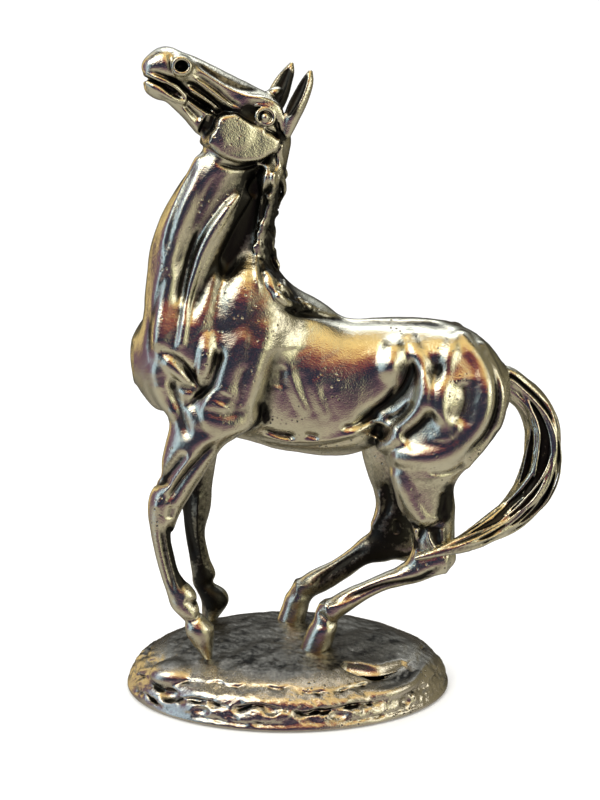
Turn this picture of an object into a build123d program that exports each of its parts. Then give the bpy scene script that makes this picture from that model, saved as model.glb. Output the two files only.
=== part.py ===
from build123d import *
import os

# A small free-standing bronze of a young horse, cast in sections by the lost-wax method.
#
# Millimetres, +Z up. The origin is the middle of the resting face, under the plinth. The horse
# faces -X, so its left side is on -Y. The castings meet on flat seams that are square to the
# axes: at each seam a round spigot enters the next casting and a pin crosses it; the seam is
# then welded and chased. The hooves stand on the plinth, held by studs, washers and nuts that
# are reached from below, and a plate with a felt pad closes the hollow underside.

os.makedirs("parts", exist_ok=True)

# ---- plinth ----
PLINTH_LENGTH = 131.0
PLINTH_WIDTH = 88.0
PLINTH_TOP = 18.5
PLINTH_WALL = 4.5
RIM_LIFT = 0.6  # the felt holds the plinth this far off the table
REBATE_MARGIN = 2.6  # rim left round the rebate that takes the plate and the felt
FIT_GAP = 0.3  # play round the plate and the felt
FELT_THICKNESS = 1.4
PLATE_THICKNESS = 1.2
PLINTH_SECTIONS = [(0.0, 1.0), (0.16, 0.99), (0.5, 0.94), (0.8, 0.86), (1.0, 0.72)]  # rise, size
NUT_SEAT = 10.5  # height of the flat pads that the washers bear on
SEAT_RADIUS = 5.5

# ---- seams and their spigots ----
NECK_SEAM = 158.0
HEAD_SEAM = 207.0
FORELEG_SEAM = 99.0
HIND_LEG_SEAM = 92.0
TAIL_SEAM = 86.0  # x of the flat face between body and tail
DOCK_BOTTOM = 105.0  # the tail seam is above this height; below it the tail curls forward again
BODY_WALL = 4.7
SPIGOT_PLAY = 0.1
LEG_SPIGOT = (3.6, 7.0)  # radius, length
NECK_SPIGOT = (8.5, 9.0)
HEAD_SPIGOT = (4.5, 8.0)
TAIL_SPIGOT = (2.2, 6.0)
NECK_BORE_RADIUS = 5.3
NECK_BORE_TOP = 190.0
PIN_RADIUS = 1.0
PLUG_RADIUS = 2.5
PLUG_PLACES = [(-8.0, 1.7), (24.0, 3.8)]  # core plugs along the belly
PLUG_TOP = 107.0

# ---- fasteners ----
FORE_STUD_RADIUS = 1.25  # M2.5
FORE_STUD_REACH = 5.5  # depth of the stud in the hoof
FORE_WASHER = (3.0, 0.5)  # radius, thickness
FORE_NUT = (2.5, 2.0)  # half the width across flats, thickness
HIND_STUD_RADIUS = 2.0  # M4
HIND_STUD_REACH = 7.0
HIND_WASHER = (4.5, 0.8)
HIND_NUT = (3.5, 3.2)
WASHER_PLAY = 0.15
STUD_TAIL = 1.4  # stud showing below its nut
SCREW_RADIUS = 1.25  # M2.5, countersunk
SCREW_HEAD_RADIUS = 2.35
SCREW_LENGTH = 7.0
SCREW_BOSS_RADIUS = 3.0
SCREW_BOSS_TOP = 12.5
SCREW_PLACES = [(-50.0, 0.0), (50.0, 0.0), (-12.0, -29.0), (-12.0, 29.0)]

# ---- stations of the horse: centre x, y, z, half width across it, half depth ----
BARREL = [
    (81.0, 4.0, 124.0, 7.0, 8.0),
    (76.0, 4.0, 124.0, 13.0, 14.0),
    (66.0, 4.0, 123.0, 18.0, 22.5),
    (50.0, 4.0, 124.0, 18.5, 26.0),
    (30.0, 4.0, 124.0, 18.0, 26.0),
    (10.0, 3.0, 125.5, 19.0, 27.5),
    (-10.0, 1.5, 130.0, 18.5, 29.0),
    (-28.0, -0.5, 134.0, 17.5, 27.5),
    (-44.0, -2.5, 135.0, 15.5, 21.0),
    (-54.0, -3.5, 133.5, 11.0, 14.5),
    (-58.5, -4.0, 133.0, 6.0, 8.0),
]
NECK = [
    (-24.0, -1.0, 146.0, 16.0, 28.0),
    (-25.0, -1.5, 160.0, 14.5, 26.5),
    (-28.0, -2.5, 175.0, 12.0, 21.5),
    (-24.0, -4.0, 190.0, 10.5, 18.5),
    (-17.0, -5.0, 205.0, 9.5, 15.0),
    (-12.0, -5.5, 219.0, 8.5, 12.0),
]
HEAD = [
    (2.0, -4.0, 224.0, 5.0, 6.0),
    (-3.0, -5.0, 225.5, 8.5, 10.5),
    (-13.5, -7.5, 222.5, 10.5, 14.5),
    (-24.5, -10.5, 229.0, 8.5, 11.8),
    (-32.5, -12.5, 235.5, 6.4, 8.8),
    (-39.0, -14.0, 239.0, 6.2, 8.4),
    (-44.5, -15.5, 240.5, 6.6, 9.0),
    (-49.0, -16.5, 241.0, 4.6, 6.0),
]
LEFT_EAR = [(-1.0, -12.0, 228.0, 3.6, 3.4), (3.0, -12.5, 234.0, 3.4, 3.6), (8.0, -12.5, 241.0, 0.8, 0.8)]
RIGHT_EAR = [(-3.5, 1.0, 230.0, 3.6, 3.2), (-2.0, 2.0, 237.0, 3.0, 3.0), (1.7, 2.0, 244.3, 0.8, 0.8)]
LEFT_FORELIMB = [
    (-22.0, -8.0, 147.0, 3.0, 7.0),
    (-25.0, -11.0, 138.0, 7.5, 14.0),
    (-30.0, -13.0, 122.0, 9.0, 15.5),
    (-33.0, -13.5, 110.0, 8.0, 14.0),
    (-37.0, -14.0, 99.0, 7.0, 9.8),
    (-40.5, -14.5, 91.5, 6.0, 8.2),
    (-45.0, -15.0, 83.5, 5.2, 6.6),
    (-47.5, -15.0, 77.5, 5.2, 6.0),
    (-48.0, -15.5, 69.0, 4.2, 4.6),
    (-46.0, -16.0, 57.5, 3.4, 3.9),
    (-42.5, -16.5, 46.5, 3.5, 4.3),
    (-40.0, -16.5, 41.0, 4.4, 5.0),
    (-37.0, -17.0, 34.5, 3.6, 3.8),
    (-33.5, -17.0, 29.0, 4.6, 4.9),
]
RIGHT_FORELIMB = [
    (-24.0, 8.0, 147.0, 3.0, 7.0),
    (-27.0, 11.0, 138.0, 7.5, 14.0),
    (-32.0, 14.0, 122.0, 9.0, 15.5),
    (-35.0, 17.0, 110.0, 8.0, 14.0),
    (-37.0, 18.0, 99.0, 7.0, 9.8),
    (-37.5, 18.5, 89.0, 6.0, 8.0),
    (-38.0, 19.0, 77.0, 5.2, 6.4),
    (-37.8, 19.0, 67.0, 5.2, 5.7),
    (-38.4, 19.0, 58.0, 3.7, 4.1),
    (-37.0, 19.5, 46.0, 3.5, 4.0),
    (-35.5, 20.0, 38.5, 4.4, 4.8),
    (-34.0, 20.0, 31.5, 3.8, 4.0),
]
LEFT_THIGH = [
    (62.0, -3.0, 140.0, 3.0, 7.0),
    (62.0, -6.0, 133.0, 8.0, 16.0),
    (60.0, -8.0, 118.0, 10.0, 21.5),
    (57.0, -8.0, 104.0, 9.5, 20.5),
    (54.0, -8.0, 92.0, 8.0, 14.5),
    (54.0, -8.5, 84.0, 7.2, 11.5),
    (55.0, -9.0, 77.0, 6.4, 10.4),
    (57.0, -9.0, 69.0, 5.2, 8.6),
    (57.5, -9.0, 60.0, 5.0, 7.6),
    (57.0, -9.0, 54.0, 3.6, 5.0),
]
RIGHT_THIGH = [
    (53.0, 10.0, 140.0, 3.0, 7.0),
    (53.0, 13.0, 133.0, 8.0, 16.0),
    (51.0, 16.5, 118.0, 10.0, 21.5),
    (47.0, 18.5, 104.0, 9.5, 20.5),
    (43.5, 20.0, 92.0, 8.0, 14.5),
    (43.0, 20.0, 84.0, 7.2, 11.5),
    (43.5, 20.0, 77.0, 6.4, 10.0),
    (44.5, 20.0, 69.0, 5.2, 8.2),
    (44.0, 20.0, 60.0, 5.0, 7.0),
    (43.0, 20.0, 54.0, 3.6, 5.0),
]
LEFT_CANNON = [
    (65.0, -9.0, 57.0, 2.6, 2.4),
    (61.5, -9.0, 55.8, 4.4, 4.6),
    (52.0, -9.0, 52.0, 4.6, 5.0),
    (36.0, -9.0, 45.7, 3.4, 3.7),
    (26.5, -9.0, 41.0, 3.6, 4.1),
    (21.0, -9.0, 37.5, 4.4, 4.8),
    (16.3, -9.0, 33.3, 3.8, 4.2),
    (14.2, -9.0, 29.0, 4.6, 4.9),
]
RIGHT_CANNON = [
    (53.0, 20.0, 56.5, 2.6, 2.4),
    (49.5, 20.0, 55.0, 4.4, 4.8),
    (39.0, 20.0, 50.8, 4.6, 5.2),
    (25.0, 20.0, 43.0, 3.6, 4.6),
    (15.0, 20.0, 36.6, 4.0, 4.9),
    (10.0, 20.0, 33.2, 4.4, 4.9),
    (4.8, 20.0, 29.5, 4.6, 4.6),
]
TAIL = [
    (78.0, 2.5, 126.5, 4.4, 5.4),
    (86.0, 2.0, 126.0, 4.4, 5.4),
    (95.5, 1.0, 120.0, 4.4, 5.4),
    (100.5, 0.0, 109.0, 5.0, 6.2),
    (101.0, -1.0, 96.0, 5.2, 6.8),
    (98.0, -2.0, 85.0, 5.2, 6.8),
    (90.0, -5.5, 74.5, 5.0, 6.0),
    (79.0, -10.5, 67.8, 4.2, 4.8),
    (68.0, -15.0, 63.0, 2.6, 3.0),
    (58.0, -16.2, 60.3, 1.3, 1.5),
]
# Hooves, from the coronet to the tread: level ovals, half width across and half length.
LEFT_FORE_HOOF = [(-34.0, -17.0, 30.5, 4.2, 4.2), (-33.5, -17.0, 28.0, 4.9, 5.0), (-31.8, -17.0, 18.5, 1.9, 1.9)]
RIGHT_FORE_HOOF = [(-34.0, 20.0, 33.0, 4.0, 4.2), (-31.6, 20.0, 27.0, 4.4, 4.8), (-33.0, 20.0, 18.5, 1.9, 1.9)]
LEFT_HIND_HOOF = [(14.2, -9.0, 31.0, 4.0, 4.6), (13.5, -9.0, 28.0, 4.7, 5.2), (11.3, -9.0, 18.5, 5.0, 5.9)]
RIGHT_HIND_HOOF = [(5.0, 20.0, 32.0, 4.0, 5.0), (4.6, 20.0, 29.0, 4.6, 5.4), (1.4, 20.0, 18.5, 5.0, 5.9)]

FORE_TREADS = [hoof[-1][:2] for hoof in (LEFT_FORE_HOOF, RIGHT_FORE_HOOF)]
HIND_TREADS = [hoof[-1][:2] for hoof in (LEFT_HIND_HOOF, RIGHT_HIND_HOOF)]
LEFT_FORE_JOINT = (-37.0, -14.0, FORELEG_SEAM)
RIGHT_FORE_JOINT = (-37.0, 18.0, FORELEG_SEAM)
LEFT_HIND_JOINT = (54.0, -8.0, HIND_LEG_SEAM)
RIGHT_HIND_JOINT = (43.5, 20.0, HIND_LEG_SEAM)
LEG_JOINTS = [LEFT_FORE_JOINT, RIGHT_FORE_JOINT, LEFT_HIND_JOINT, RIGHT_HIND_JOINT]
NECK_JOINT = (-25.0, -1.5, NECK_SEAM)
HEAD_JOINT = (-16.5, -5.0, HEAD_SEAM)
TAIL_JOINT = (TAIL_SEAM, 2.0, 126.0)


# ---- helpers ----
def oval_loft(stations):
    """A solid through ovals that stand square to the line through their centres."""
    centres = [Vector(x, y, z) for x, y, z, _, _ in stations]
    before = [centres[0]] + centres[:-1]
    after = centres[1:] + [centres[-1]]
    with BuildPart() as skin:
        for centre, last, following, station in zip(centres, before, after, stations):
            with BuildSketch(Plane(origin=centre, x_dir=(0, 1, 0), z_dir=following - last)):
                Ellipse(station[3], station[4])
        loft()
    return skin.part


def level_loft(stations):
    """A solid through level ovals, straight from each one to the next."""
    with BuildPart() as skin:
        for x, y, z, half_width, half_length in stations:
            with BuildSketch(Plane.XY.offset(z)):
                with Locations((x, y)):
                    Ellipse(half_length, half_width)
        loft(ruled=True)
    return skin.part


def rod(radius, start, end):
    """A round bar between two points."""
    line = Vector(*end) - Vector(*start)
    with BuildPart() as bar:
        with BuildSketch(Plane(origin=start, z_dir=line)):
            Circle(radius)
        extrude(amount=line.length)
    return bar.part


def side(solid, plane, keep):
    """The part of a solid on one side of a plane."""
    with BuildPart() as half:
        add(solid)
        split(bisect_by=plane, keep=keep)
    return half.part


def upright_spigot(joint, spigot, grow=0.0):
    """The round peg above a level seam; grown a little, it cuts the socket."""
    x, y, z = joint
    radius, length = spigot
    return rod(radius + grow, (x, y, z), (x, y, z + length + grow))


def export(casting, name):
    """Names a finished piece and writes its file."""
    casting.part.label = name
    export_step(casting.part, f"parts/{name}.step")


# ---- plinth: an oval rocky mound, cast as a shell open below ----
def mound(half_length, half_width, bottom, top):
    """An oval mound whose sides round over into a flat top."""
    with BuildPart() as hill:
        for rise, size in PLINTH_SECTIONS:
            with BuildSketch(Plane.XY.offset(bottom + rise * (top - bottom))):
                Ellipse(half_length * size, half_width * size)
        loft()
    return hill.part


PLATE_BOTTOM = FELT_THICKNESS
PLATE_TOP = PLATE_BOTTOM + PLATE_THICKNESS
REBATE_LENGTH = PLINTH_LENGTH / 2 - REBATE_MARGIN
REBATE_WIDTH = PLINTH_WIDTH / 2 - REBATE_MARGIN
outer_mound = mound(PLINTH_LENGTH / 2, PLINTH_WIDTH / 2, RIM_LIFT, PLINTH_TOP)
inner_mound = mound(
    PLINTH_LENGTH / 2 - PLINTH_WALL,
    PLINTH_WIDTH / 2 - PLINTH_WALL,
    RIM_LIFT,
    PLINTH_TOP - PLINTH_WALL,
)

with BuildPart() as plinth:
    add(outer_mound)
    add(inner_mound, mode=Mode.SUBTRACT)
    with BuildSketch(Plane.XY.offset(NUT_SEAT)):
        with Locations(*FORE_TREADS, *HIND_TREADS):
            Circle(SEAT_RADIUS)
    extrude(amount=PLINTH_TOP - PLINTH_WALL / 2 - NUT_SEAT)
    with BuildSketch(Plane.XY.offset(PLATE_TOP)):
        with Locations(*SCREW_PLACES):
            Circle(SCREW_BOSS_RADIUS)
    extrude(amount=SCREW_BOSS_TOP - PLATE_TOP)
    with BuildSketch(Plane.XY.offset(RIM_LIFT)):
        Ellipse(REBATE_LENGTH, REBATE_WIDTH)
    extrude(amount=PLATE_TOP - RIM_LIFT, mode=Mode.SUBTRACT)
    with BuildSketch(Plane.XY.offset(PLATE_TOP)):
        with Locations(*SCREW_PLACES):
            Circle(SCREW_RADIUS)
    extrude(amount=SCREW_LENGTH, mode=Mode.SUBTRACT)
    with BuildSketch(Plane.XY.offset(NUT_SEAT)):
        with Locations(*FORE_TREADS):
            Circle(FORE_STUD_RADIUS)
        with Locations(*HIND_TREADS):
            Circle(HIND_STUD_RADIUS)
    extrude(amount=PLINTH_TOP - NUT_SEAT, mode=Mode.SUBTRACT)
export(plinth, "plinth")

# ---- bottom plate and felt pad ----
with BuildPart() as bottom_plate:
    with BuildSketch(Plane.XY.offset(PLATE_BOTTOM)):
        Ellipse(REBATE_LENGTH - FIT_GAP, REBATE_WIDTH - FIT_GAP)
    extrude(amount=PLATE_THICKNESS)
    with Locations(*[(x, y, PLATE_BOTTOM + PLATE_THICKNESS / 2) for x, y in SCREW_PLACES]):
        Cone(SCREW_HEAD_RADIUS, SCREW_RADIUS, PLATE_THICKNESS, mode=Mode.SUBTRACT)
export(bottom_plate, "bottom_plate")

with BuildPart() as felt_pad:
    with BuildSketch(Plane.XY):
        Ellipse(REBATE_LENGTH - FIT_GAP, REBATE_WIDTH - FIT_GAP)
    extrude(amount=FELT_THICKNESS)
export(felt_pad, "felt_pad")

with BuildPart() as plate_screws:
    with Locations(*[(x, y, PLATE_BOTTOM + PLATE_THICKNESS / 2) for x, y in SCREW_PLACES]):
        Cone(SCREW_HEAD_RADIUS, SCREW_RADIUS, PLATE_THICKNESS)
    with BuildSketch(Plane.XY.offset(PLATE_TOP)):
        with Locations(*SCREW_PLACES):
            Circle(SCREW_RADIUS)
    extrude(amount=SCREW_LENGTH - PLATE_THICKNESS)
export(plate_screws, "plate_screws")

# ---- studs, washers and nuts that hold the hooves ----
def studs(places, radius, reach, washer, nut):
    """Plain studs from below the nuts into the hooves."""
    bottom = NUT_SEAT - washer[1] - nut[1] - STUD_TAIL
    with BuildPart() as bars:
        with BuildSketch(Plane.XY.offset(bottom)):
            with Locations(*places):
                Circle(radius)
        extrude(amount=PLINTH_TOP + reach - bottom)
    return bars


def washers(places, radius, washer):
    """Flat rings under the seats."""
    outer_radius, thickness = washer
    with BuildPart() as rings:
        with BuildSketch(Plane.XY.offset(NUT_SEAT - thickness)):
            with Locations(*places):
                Circle(outer_radius)
                Circle(radius + WASHER_PLAY, mode=Mode.SUBTRACT)
        extrude(amount=thickness)
    return rings


def nuts(places, radius, washer, nut):
    """Hexagon nuts under the washers."""
    apothem, thickness = nut
    with BuildPart() as hexagons:
        with BuildSketch(Plane.XY.offset(NUT_SEAT - washer[1] - thickness)):
            with Locations(*places):
                RegularPolygon(apothem, 6, major_radius=False)
                Circle(radius, mode=Mode.SUBTRACT)
        extrude(amount=thickness)
    return hexagons


fore_studs = studs(FORE_TREADS, FORE_STUD_RADIUS, FORE_STUD_REACH, FORE_WASHER, FORE_NUT)
hind_studs = studs(HIND_TREADS, HIND_STUD_RADIUS, HIND_STUD_REACH, HIND_WASHER, HIND_NUT)
export(fore_studs, "fore_studs")
export(hind_studs, "hind_studs")
export(washers(FORE_TREADS, FORE_STUD_RADIUS, FORE_WASHER), "fore_washers")
export(washers(HIND_TREADS, HIND_STUD_RADIUS, HIND_WASHER), "hind_washers")
export(nuts(FORE_TREADS, FORE_STUD_RADIUS, FORE_WASHER, FORE_NUT), "fore_nuts")
export(nuts(HIND_TREADS, HIND_STUD_RADIUS, HIND_WASHER, HIND_NUT), "hind_nuts")

# ---- pins across the spigots, and plugs in the core holes ----
def cross_pin(x, y, z, half_length):
    """A level pin that runs across the horse."""
    return rod(PIN_RADIUS, (x, y - half_length, z), (x, y + half_length, z))


with BuildPart() as seam_pins:
    add(cross_pin(NECK_JOINT[0], -1.5, NECK_SEAM + NECK_SPIGOT[1] / 2, 10.0))
    add(cross_pin(HEAD_JOINT[0], -5.0, HEAD_SEAM - HEAD_SPIGOT[1] / 2, 7.0))
    add(cross_pin(TAIL_SEAM - TAIL_SPIGOT[1] / 2, 2.0, TAIL_JOINT[2], 3.2))
    for x, y, z in LEG_JOINTS:
        add(cross_pin(x, y, z + LEG_SPIGOT[1] / 2, 5.2))
export(seam_pins, "seam_pins")

# ---- body: a hollow casting with the shoulders, the haunches and the foot of the neck ----
left_forelimb = oval_loft(LEFT_FORELIMB)
right_forelimb = oval_loft(RIGHT_FORELIMB)
left_thigh = oval_loft(LEFT_THIGH)
right_thigh = oval_loft(RIGHT_THIGH)
whole_neck = oval_loft(NECK)
whole_tail = oval_loft(TAIL)
with BuildPart() as dock_block:  # everything ahead of the tail seam at the height of the dock
    with Locations((TAIL_SEAM, 0.0, DOCK_BOTTOM)):
        Box(100.0, 100.0, 100.0, align=(Align.MAX, Align.CENTER, Align.MIN))
with BuildPart() as dock:
    add(whole_tail)
    add(dock_block.part, mode=Mode.INTERSECT)
barrel = oval_loft(BARREL)
barrel_core = oval_loft([(x, y, z, w - BODY_WALL, d - BODY_WALL) for x, y, z, w, d in BARREL[2:-2]])

foreleg_plane = Plane.XY.offset(FORELEG_SEAM)
hind_leg_plane = Plane.XY.offset(HIND_LEG_SEAM)
neck_plane = Plane.XY.offset(NECK_SEAM)
head_plane = Plane.XY.offset(HEAD_SEAM)
tread_plane = Plane.XY.offset(PLINTH_TOP)
neck_x, neck_y, _ = NECK_JOINT
tail_x, tail_y, tail_z = TAIL_JOINT

with BuildPart() as core_plugs:
    for x, y in PLUG_PLACES:
        add(rod(PLUG_RADIUS, (x, y, 90.0), (x, y, PLUG_TOP)))
    add(barrel, mode=Mode.INTERSECT)
export(core_plugs, "core_plugs")

with BuildPart() as body:
    add(barrel)
    add(side(left_forelimb, foreleg_plane, Keep.TOP))
    add(side(right_forelimb, foreleg_plane, Keep.TOP))
    add(side(left_thigh, hind_leg_plane, Keep.TOP))
    add(side(right_thigh, hind_leg_plane, Keep.TOP))
    add(side(whole_neck, neck_plane, Keep.BOTTOM))
    add(dock.part)
    split(bisect_by=Plane.YZ.offset(TAIL_SEAM), keep=Keep.BOTTOM)
    split(bisect_by=neck_plane, keep=Keep.BOTTOM)
    add(barrel_core, mode=Mode.SUBTRACT)
    add(upright_spigot(NECK_JOINT, NECK_SPIGOT))
    add(
        rod(NECK_BORE_RADIUS, (neck_x, neck_y, 130.0), (neck_x, neck_y, NECK_SEAM + NECK_SPIGOT[1])),
        mode=Mode.SUBTRACT,
    )
    for joint in LEG_JOINTS:
        add(upright_spigot(joint, LEG_SPIGOT, SPIGOT_PLAY), mode=Mode.SUBTRACT)
    add(
        rod(
            TAIL_SPIGOT[0] + SPIGOT_PLAY,
            (tail_x - TAIL_SPIGOT[1] - SPIGOT_PLAY, tail_y, tail_z),
            (tail_x, tail_y, tail_z),
        ),
        mode=Mode.SUBTRACT,
    )
    add(seam_pins.part, mode=Mode.SUBTRACT)
    add(core_plugs.part, mode=Mode.SUBTRACT)
export(body, "body")

# ---- neck and head ----
head_x, head_y, _ = HEAD_JOINT
head_spigot_foot = (head_x, head_y, HEAD_SEAM - HEAD_SPIGOT[1])
neck_socket_top = NECK_SEAM + NECK_SPIGOT[1] + SPIGOT_PLAY

with BuildPart() as neck:
    add(whole_neck)
    split(bisect_by=neck_plane, keep=Keep.TOP)
    split(bisect_by=head_plane, keep=Keep.BOTTOM)
    add(upright_spigot(NECK_JOINT, NECK_SPIGOT, SPIGOT_PLAY), mode=Mode.SUBTRACT)
    add(
        rod(NECK_BORE_RADIUS, (neck_x, neck_y, neck_socket_top), (neck_x, neck_y, NECK_BORE_TOP)),
        mode=Mode.SUBTRACT,
    )
    add(
        rod(
            HEAD_SPIGOT[0] + SPIGOT_PLAY,
            (head_x, head_y, HEAD_SEAM - HEAD_SPIGOT[1] - SPIGOT_PLAY),
            HEAD_JOINT,
        ),
        mode=Mode.SUBTRACT,
    )
    add(seam_pins.part, mode=Mode.SUBTRACT)
export(neck, "neck")

with BuildPart() as head:
    add(whole_neck)
    add(oval_loft(HEAD))
    add(oval_loft(LEFT_EAR))
    add(oval_loft(RIGHT_EAR))
    split(bisect_by=head_plane, keep=Keep.TOP)
    add(rod(HEAD_SPIGOT[0], head_spigot_foot, HEAD_JOINT))
    add(seam_pins.part, mode=Mode.SUBTRACT)
export(head, "head")


# ---- legs ----
def leg(limb, cannon, hoof, joint, stud_parts):
    """A solid leg casting: spigot above, flat tread below, bored for its stud and pin."""
    x, y, z = joint
    with BuildPart() as casting:
        add(limb)
        split(bisect_by=Plane.XY.offset(z), keep=Keep.BOTTOM)
        if cannon:
            add(oval_loft(cannon))
        add(level_loft(hoof))
        split(bisect_by=tread_plane, keep=Keep.TOP)
        add(upright_spigot(joint, LEG_SPIGOT))
        add(seam_pins.part, mode=Mode.SUBTRACT)
        add(stud_parts, mode=Mode.SUBTRACT)
    return casting


export(leg(left_forelimb, None, LEFT_FORE_HOOF, LEFT_FORE_JOINT, fore_studs.part), "left_foreleg")
export(leg(right_forelimb, None, RIGHT_FORE_HOOF, RIGHT_FORE_JOINT, fore_studs.part), "right_foreleg")
export(leg(left_thigh, LEFT_CANNON, LEFT_HIND_HOOF, LEFT_HIND_JOINT, hind_studs.part), "left_hind_leg")
export(leg(right_thigh, RIGHT_CANNON, RIGHT_HIND_HOOF, RIGHT_HIND_JOINT, hind_studs.part), "right_hind_leg")

# ---- tail ----
with BuildPart() as tail:
    add(whole_tail)
    add(dock_block.part, mode=Mode.SUBTRACT)
    add(rod(TAIL_SPIGOT[0], (tail_x - TAIL_SPIGOT[1], tail_y, tail_z), TAIL_JOINT))
    add(seam_pins.part, mode=Mode.SUBTRACT)
export(tail, "tail")
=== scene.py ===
"""A polished bronze of a young horse on a rocky oval plinth.

Each casting is sculpted as a signed distance field on a grid, in millimetres in the part's own
frame (the horse faces -X and its left side is on -Y), and is then cut at the same seams as the
CAD castings. Masses give the body its volume; reliefs are ridges and hollows drawn on the side
of the horse, as lines in X and Z, and pushed in or out across it.
"""

import math

import bmesh
import bpy
import numpy as np
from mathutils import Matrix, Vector

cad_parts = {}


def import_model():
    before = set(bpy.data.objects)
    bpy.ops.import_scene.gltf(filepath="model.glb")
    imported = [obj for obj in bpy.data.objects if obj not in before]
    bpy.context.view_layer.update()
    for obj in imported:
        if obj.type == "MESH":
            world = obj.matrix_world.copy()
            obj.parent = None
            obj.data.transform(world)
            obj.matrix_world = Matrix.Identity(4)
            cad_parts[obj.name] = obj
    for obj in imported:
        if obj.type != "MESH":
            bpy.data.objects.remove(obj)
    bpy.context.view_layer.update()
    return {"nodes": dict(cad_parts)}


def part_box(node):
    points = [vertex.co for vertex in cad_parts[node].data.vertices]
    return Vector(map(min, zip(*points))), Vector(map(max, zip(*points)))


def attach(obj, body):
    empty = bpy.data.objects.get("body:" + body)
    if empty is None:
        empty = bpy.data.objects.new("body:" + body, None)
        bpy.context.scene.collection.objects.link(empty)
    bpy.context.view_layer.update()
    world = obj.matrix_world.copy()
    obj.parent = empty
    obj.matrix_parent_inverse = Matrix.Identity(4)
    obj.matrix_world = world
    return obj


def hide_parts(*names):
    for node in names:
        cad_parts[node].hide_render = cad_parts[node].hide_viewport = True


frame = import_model()

MM = 0.001
FAR = 6.0  # distances are kept up to this far from the surface
COARSE = 1.0


def node_low(node, axis):
    """Lowest coordinate of a CAD node, in millimetres."""
    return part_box(node)[0][axis] / MM


def node_high(node, axis):
    """Highest coordinate of a CAD node, in millimetres."""
    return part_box(node)[1][axis] / MM


# ---- seams between the castings, from the frame ----
LEG_SPIGOT_LENGTH = 7.0  # how far the spigot of a foreleg stands above its seam
PLINTH_TOP = node_high("plinth", 2)
NECK_SEAM = node_low("neck", 2)
HEAD_SEAM = node_high("neck", 2)
FORELEG_SEAM = node_high("left_foreleg", 2) - LEG_SPIGOT_LENGTH
HIND_LEG_SEAM = node_low("body", 2)
TAIL_SEAM = node_high("body", 0)


# ---- clay: a signed distance field on a grid ----
def smooth_curve(stations, at):
    """Cubic interpolation of every column of the stations against the first one."""
    table = np.array(stations, float)
    order = np.argsort(table[:, 0])
    table = table[order]
    keys = table[:, 0]
    slopes = np.gradient(table, keys, axis=0)
    at = np.clip(at, keys[0], keys[-1])
    span = np.clip(np.searchsorted(keys, at, side="right") - 1, 0, len(keys) - 2)
    width = keys[span + 1] - keys[span]
    t = ((at - keys[span]) / width)[:, None]
    width = width[:, None]
    start, end = table[span], table[span + 1]
    rise, fall = slopes[span] * width, slopes[span + 1] * width
    return (
        start * (2 * t**3 - 3 * t**2 + 1)
        + rise * (t**3 - 2 * t**2 + t)
        + end * (3 * t**2 - 2 * t**3)
        + fall * (t**3 - t**2)
    )


def smooth_path(points, spacing):
    """A path through the points with extra points, so that its turns are round."""
    points = np.array(points, float)
    if len(points) < 3:
        return points
    steps = np.linalg.norm(np.diff(points[:, :3], axis=0), axis=1)
    along = np.concatenate([[0.0], np.cumsum(np.maximum(steps, 1e-6))])
    count = max(int(along[-1] / spacing) + 1, len(points))
    at = np.linspace(0.0, along[-1], count)
    return smooth_curve(np.column_stack([along, points]), at)[:, 1:]


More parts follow.
